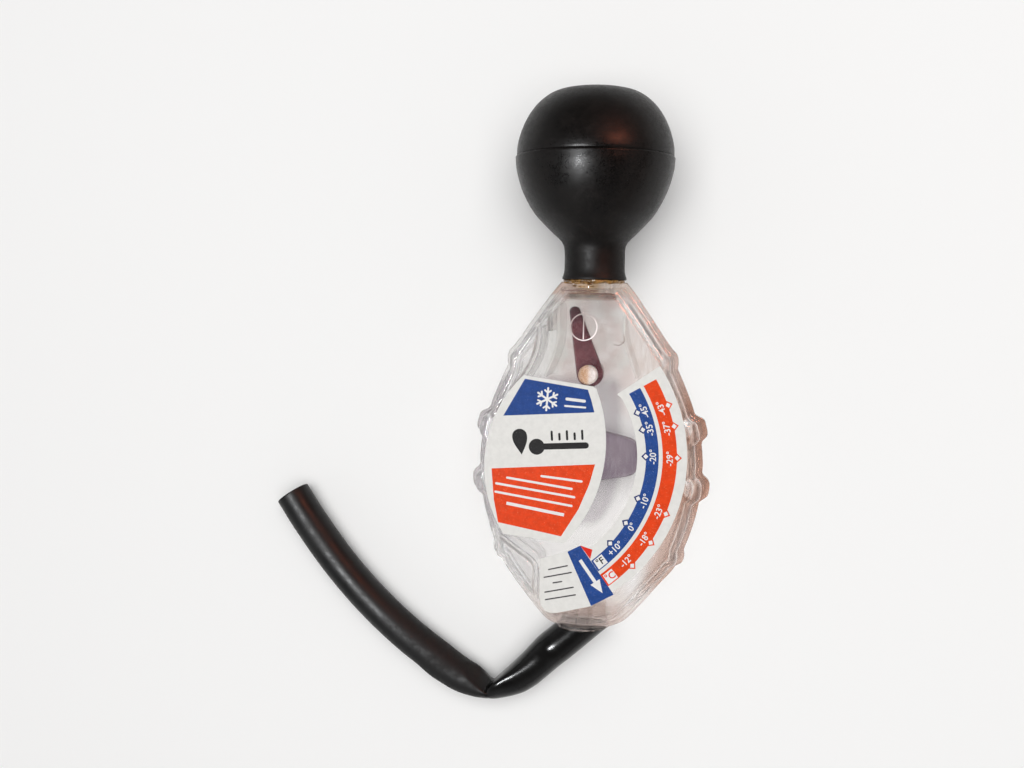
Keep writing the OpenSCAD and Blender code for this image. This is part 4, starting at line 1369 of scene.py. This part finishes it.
def text_mesh(text, size, bold, at, angle, slant=0.0, squeeze=1.0):
    """Outlines of plain numbers as a flat closed mesh, in mm, in the second ink layer."""
    cu = bpy.data.curves.new("figure", "FONT")
    cu.body = text
    cu.size = size
    cu.offset = bold
    cu.shear = slant
    cu.align_x = "CENTER"
    cu.align_y = "CENTER"
    cu.resolution_u = 4
    cu.extrude = 0.0
    ob = bpy.data.objects.new("figure", cu)
    scene.collection.objects.link(ob)
    dg = bpy.context.evaluated_depsgraph_get()
    me = bpy.data.meshes.new_from_object(ob.evaluated_get(dg))
    bpy.data.objects.remove(ob)
    bm = bmesh.new()
    bm.from_mesh(me)
    bmesh.ops.remove_doubles(bm, verts=bm.verts, dist=1e-4)
    faces = list(bm.faces)
    ext = bmesh.ops.extrude_face_region(bm, geom=faces)
    top = [g for g in ext["geom"] if isinstance(g, bmesh.types.BMVert)]
    for q in bm.verts:
        q.co.z = Z_I1 - 0.02
    for q in top:
        q.co.z = Z_I2
    a = math.radians(angle)
    for q in bm.verts:
        x, y = q.co.x * squeeze, q.co.y
        q.co.x = at[0] + x * math.cos(a) - y * math.sin(a)
        q.co.y = at[1] + x * math.sin(a) + y * math.cos(a)
    bm.normal_update()
    vs = [tuple(q.co) for q in bm.verts]
    bm.verts.index_update()
    fs = [tuple(q.index for q in f.verts) for f in bm.faces]
    bm.free()
    bpy.data.meshes.remove(me)
    return vs, fs


def sticker_piece(name, data, mat, replaces=(), angle=30):
    v, f = data
    if name.startswith("scale_"):
        # the sticker was put on slightly turned, more to the right at its lower end
        v = [(x + float(np.interp(y, (-47, -20, 0, 8, 20, 34), (0.88, 0.66, 0.55, 0.42, 0.12, 0.0))), y, z)
             for x, y, z in v]
    return piece(name, mesh_of(name, v, f), mat, "tester", list(replaces), angle=angle)


main_sticker = sticker_piece("main_sticker", plate(MAIN, Z_S0, Z_S1, 0.02), mat_sticker, replaces=["main_label"])
scale_sticker = sticker_piece("scale_sticker", plate(SCALE, Z_S0, Z_S1, 0.02), mat_sticker,
                              replaces=["scale_label"])

# -- printed blocks of the main sticker
blue_block = [(-19.8, 23.4), (0.1, 20.6), (1.3, 17.2), (2.3, 13.6), (-26.5, 11.5)]
orange_block = [(-30, -5.5), (2.9, -2.7), (1.2, -9.2), (-2.0, -17.2), (-7.3, -26.1), (-27.6, -22.7), (-29.1, -15.4)]
sticker_piece("main_print_blue", ink([blue_block]), mat_blue_block)
sticker_piece("main_print_orange", ink([orange_block]), mat_orange)


def bar(p, q, w, round_ends=True):
    p, q = np.array(p, float), np.array(q, float)
    d = (q - p) / np.linalg.norm(q - p)
    n = np.array([-d[1], d[0]]) * w / 2
    if not round_ends:
        return [tuple(p + n), tuple(p - n), tuple(q - n), tuple(q + n)]
    a0 = math.atan2(n[1], n[0])
    pts = [tuple(p + w / 2 * np.array([math.cos(a0 + math.pi * k / 6), math.sin(a0 + math.pi * k / 6)]))
           for k in range(7)]
    pts += [tuple(q + w / 2 * np.array([math.cos(a0 + math.pi + math.pi * k / 6),
                                        math.sin(a0 + math.pi + math.pi * k / 6)])) for k in range(7)]
    return pts


def union_plates(outlines, z0, z1):
    """Overlapping flat outlines joined into one closed solid."""
    base = None
    for p in outlines:
        s = scratch("stroke", *plate(p, z0, z1))
        base = s if base is None else boolean(base, s, "UNION")
    me = base.data
    vs = [tuple(q.co) for q in me.vertices]
    fs = [tuple(q.vertices) for q in me.polygons]
    bpy.data.objects.remove(base)
    return vs, fs


def snowflake(c, r, w, turn=0.0):
    out = []
    for k in range(3):
        a = math.radians(turn + 60 * k)
        d = np.array([math.cos(a), math.sin(a)])
        out.append(bar(np.array(c) - d * r, np.array(c) + d * r, w))
    for k in range(6):
        a = math.radians(turn + 60 * k)
        d = np.array([math.cos(a), math.sin(a)])
        for s in (0.58,):
            root = np.array(c) + d * r * s
            for e in (-1, 1):
                b = a + e * math.radians(52)
                out.append(bar(root, root + 0.34 * r * np.array([math.cos(b), math.sin(b)]), w * 0.9))
    return out


def drop(c, r, tilt=0.0):
    pts = []
    for k in range(48):
        t = 2 * math.pi * k / 48
        x = r * math.sin(t) * (math.sin(t / 2) ** 1.3)
        y = -r * 1.25 * math.cos(t + math.pi)
        pts.append(rot2((x, -y), tilt, c))
    return pts


def thermometer(c, long, w, tilt):
    """Bulb, stem and ticks of a plain thermometer sign."""
    out = [[rot2((w * 1.15 * math.cos(math.radians(a)) - long / 2, w * 1.15 * math.sin(math.radians(a))), tilt, c)
            for a in range(0, 360, 12)]]
    out.append([rot2(p, tilt, c) for p in bar((-long / 2, 0), (long / 2, 0), w * 0.9)])
    ticks = [[rot2(p, tilt, c) for p in bar((-long * 0.18 + k * long * 0.155, w * 0.95),
                                            (-long * 0.18 + k * long * 0.155, w * (1.75 if k % 2 else 2.1)), w * 0.32)]
             for k in range(5)]
    return out, ticks


# generic signs where the real sticker has words: frost on blue, liquid and
# thermometer on white, plain rules on orange
L2 = (Z_I1 - 0.02, Z_I2)
L1 = (Z_S1 - 0.02, Z_I1)
flake = union_plates(snowflake((-12.6, 17.2), 3.5, 0.62, 26), *L2)
rules = [bar((-6.4, 17.5), (-0.9, 17.0), 0.95), bar((-6.9, 15.3), (-0.6, 15.0), 0.6)]
sticker_piece("main_print_frost", join_meshes([flake] + [plate(p, *L2) for p in rules]), mat_white)

drop_sign = plate(drop((-20.9, 3.4), 3.3, 8), *L1)
body_sign, ticks = thermometer((-7.9, 2.6), 15.5, 2.2, 4)
thermo = union_plates(body_sign, *L1)
sticker_piece("main_print_signs", join_meshes([drop_sign, thermo] + [plate(p, *L1) for p in ticks]), mat_black)

lines = [
    bar((-13.9, -7.2), (-1.2, -8.3), 0.72), bar((-24.9, -8.2), (-4.3, -10.8), 0.72),
    bar((-28.4, -10.2), (-3.4, -13.4), 0.72), bar((-28.6, -12.9), (-4.2, -16.2), 0.72),
    bar((-25, -16.4), (-6.5, -19.2), 1.0, False),
]
sticker_piece("main_print_rules", join_meshes([plate(p, *L2) for p in lines]), mat_white)

# -- the scale
band_f = band(39.5, 43.4, -55.3, 30.2)
band_c = band(44.6, 49.0, -55.3, 30.2)


def diamond(r_mid, a, inner, outer, w):
    return [printed(r_mid - inner, a), printed(r_mid, a - w), printed(r_mid + outer, a), printed(r_mid, a + w)]


F_MARKS = [("-45°", 20.95), ("-35°", 13.0), ("-20°", 0.85), ("-10°", -18.75),
           ("0°", -31.4), ("+10°", -43.35)]
C_MARKS = [("-43°", 20.0), ("-37°", 12.15), ("-29°", 0.6), ("-23°", -20.35),
           ("-18°", -32.4), ("-12°", -43.4)]
blue_bits, orange_bits, navy_bits, white_parts = [band_f], [band_c], [], []
for _, a in F_MARKS:
    navy_bits.append(diamond(39.35, a, 1.35, 1.0, 1.9))
    white_parts.append(plate(diamond(39.4, a, 0.75, 0.8, 1.2), *L2))
for _, a in C_MARKS:
    orange_bits.append(diamond(49.0, a, 1.0, 1.5, 1.65))
    white_parts.append(plate(diamond(49.05, a, 0.75, 0.85, 1.0), *L2))
numbers = []
for t, a in F_MARKS:
    numbers.append(text_mesh(t, 2.75, 0.045, printed(41.7, a), a + 90, squeeze=1.0))
for t, a in C_MARKS:
    numbers.append(text_mesh(t, 2.7, 0.045, printed(46.85, a - 0.3), a + 90, squeeze=1.0))
unit_f = [printed(39.9, -49.7), printed(39.9, -54.5), printed(43.1, -54.5), printed(43.1, -49.7)]
unit_c = [printed(45.3, -50.2), printed(45.3, -54.6), printed(48.7, -54.6), printed(48.7, -50.2)]
para = [(-5.9, -30.9), (-1.85, -28.7), (8.95, -43.7), (1.85, -47.8)]
tri = [(-1.85, -28.7), (2.0, -29.75), (1.35, -32.8)]

sticker_piece("scale_print_blue", join_meshes([union_plates(blue_bits, *L1), plate(para, Z_S1 - 0.02, Z_I1 + 0.002)]),
              mat_blue)
sticker_piece("scale_print_orange", union_plates(orange_bits, *L1), mat_orange)
sticker_piece("scale_print_red", plate(tri, *L1), mat_red)
sticker_piece("scale_print_marks", join_meshes([plate(p, Z_S1 - 0.02, Z_I1 + 0.008) for p in navy_bits]), mat_navy)
arrow_d = np.array([10.6, -14.8]) / math.hypot(10.6, 14.8)
ap = np.array([-1.85, -33.3])
aq = ap + arrow_d * 12.5
an = np.array([-arrow_d[1], arrow_d[0]])
arrow = [tuple(aq - arrow_d * 4.2 + an * 0.55), tuple(ap + an * 0.55), tuple(ap - an * 0.55),
         tuple(aq - arrow_d * 4.2 - an * 0.55), tuple(aq - arrow_d * 4.2 - an * 1.75), tuple(aq),
         tuple(aq - arrow_d * 4.2 + an * 1.75)]
sticker_piece("scale_print_white",
              join_meshes(white_parts + numbers + [plate(unit_f, *L2), plate(unit_c, *L2), plate(arrow, *L2)]),
              mat_white)


def unit_text(t, at, angle, size):
    v, f = text_mesh(t, size, 0.05, at, angle)
    return [(x, y, z + 0.022) for x, y, z in v], f


sticker_piece("scale_print_units", join_meshes([
    unit_text("°F", tuple(np.mean(unit_f, axis=0)), 37, 3.0)]), mat_black)
sticker_piece("scale_print_units_c", join_meshes([
    unit_text("°C", tuple(np.mean(unit_c, axis=0)), 36, 3.1)]), mat_red)
small = [bar((-11.8, -37.0), (-5.9, -35.4), 0.42), bar((-13.2, -39.6), (-4.6, -37.5), 0.42),
         bar((-10.3, -41.2), (-7.6, -40.6), 0.42), bar((-12.9, -44.4), (-3.9, -42.2), 0.42),
         bar((-12.7, -46.8), (-3.2, -44.6), 0.42)]
sticker_piece("scale_print_notes", join_meshes([plate(p, *L1) for p in small]), mat_grey)

# ---------------------------------------------------------------- stage
me = bpy.data.meshes.new("floor")
me.from_pydata([(-4, -4, -0.00005), (4, -4, -0.00005), (4, 4, -0.00005), (-4, 4, -0.00005)], [], [(0, 1, 2, 3)])
floor = bpy.data.objects.new("floor", me)
scene.collection.objects.link(floor)
fm = bpy.data.materials.new("floor_look")
fm.use_nodes = True
fb = fm.node_tree.nodes["Principled BSDF"]
fb.inputs["Base Color"].default_value = (0.93, 0.93, 0.93, 1)
fb.inputs["Roughness"].default_value = 0.8
fb.inputs["Specular IOR Level"].default_value = 0.1
me.materials.append(fm)

world = bpy.data.worlds.new("soft_room")
scene.world = world
world.use_nodes = True
wt = world.node_tree
bg = wt.nodes["Background"]
tc = wt.nodes.new("ShaderNodeTexCoord")
sep = wt.nodes.new("ShaderNodeSeparateXYZ")
wt.links.new(tc.outputs["Generated"], sep.inputs[0])


def w_range(sock, lo, hi, a, b):
    n = wt.nodes.new("ShaderNodeMapRange")
    n.interpolation_type = "SMOOTHSTEP"
    n.clamp = True
    wt.links.new(sock, n.inputs["Value"])
    for k, v in (("From Min", lo), ("From Max", hi), ("To Min", a), ("To Max", b)):
        n.inputs[k].default_value = v
    return n.outputs["Result"]


up = sep.outputs["Z"]
east = w_range(sep.outputs["X"], 0.1, 0.8, 0.0, 1.0)
low = w_range(up, 0.05, 0.55, 1.0, 0.0)
mul = wt.nodes.new("ShaderNodeMath")
mul.operation = "MULTIPLY"
wt.links.new(east, mul.inputs[0])
wt.links.new(low, mul.inputs[1])


def w_mix(fac, a, b):
    n = wt.nodes.new("ShaderNodeMix")
    n.data_type = "RGBA"
    for sock, v in ((n.inputs["Factor"], fac), (n.inputs[6], a), (n.inputs[7], b)):
        if isinstance(v, bpy.types.NodeSocket):
            wt.links.new(v, sock)
        else:
            sock.default_value = (*v, 1.0)
    return n.outputs[2]


# bright low down, where the pale sweep goes on round the object, and darker overhead
sky = w_mix(w_range(up, 0.2, 0.85, 0.0, 1.0), (0.50, 0.505, 0.515), (0.085, 0.083, 0.083))
sky = w_mix(w_range(sep.outputs["Y"], 0.15, 0.9, 0.0, 0.85), sky, (0.05, 0.049, 0.048))
sky = w_mix(mul.outputs[0], sky, (0.25, 0.19, 0.16))
wt.links.new(sky, bg.inputs["Color"])
bg.inputs["Strength"].default_value = 1.0


def lamp(name, at, aim, size, watts, colour=(1, 1, 1), glossy=True, diffuse=True):
    d = bpy.data.lights.new(name, "AREA")
    d.shape = "RECTANGLE"
    d.size, d.size_y = size
    d.energy = watts
    d.color = colour
    o = bpy.data.objects.new(name, d)
    scene.collection.objects.link(o)
    o.location = at
    back = (Vector(at) - Vector(aim)).normalized()
    side = Vector((0, 1, 0)).cross(back).normalized()
    long = back.cross(side)
    o.rotation_mode = "QUATERNION"
    o.rotation_quaternion = Matrix((side, long, back)).transposed().to_quaternion()
    o.visible_glossy = glossy
    o.visible_transmission = glossy
    o.visible_diffuse = diffuse
    return o


FILL, KEY = 25.7, 4.5
lamp("fill_softbox", (0.1, 0.15, 1.5), (0.0, 0.0, 0.0), (1.6, 1.6), FILL, (1.0, 0.995, 0.985), glossy=False)
lamp("key_softbox", (-0.188, -0.105, 0.60), (-0.01, 0.0, 0.01), (0.05, 0.16), KEY, (0.97, 0.985, 1.0),
     diffuse=False)

# a warm card on the right is mirrored in the bulb
lamp("warm_card", (0.28, 0.219, 0.408), (0.0, 0.064, 0.03), (0.14, 0.10), 1.1, (1.0, 0.30, 0.18), diffuse=False)

scene.view_settings.view_transform = "Standard"
scene.view_settings.look = "None"
scene.cycles.caustics_refractive = False
scene.cycles.caustics_reflective = False
scene.cycles.max_bounces = 24
scene.cycles.transmission_bounces = 20
scene.cycles.transparent_max_bounces = 32

for o in bpy.data.objects:
    # no sticker or print casts a shadow: the thin white vinyl of the scale glows in the light and hardly shades the
    # chamber's floor, and the main sticker's shade beside its edge is painted into the rear shell instead
    if o.name.startswith(("scale_", "main_")):
        o.visible_shadow = False
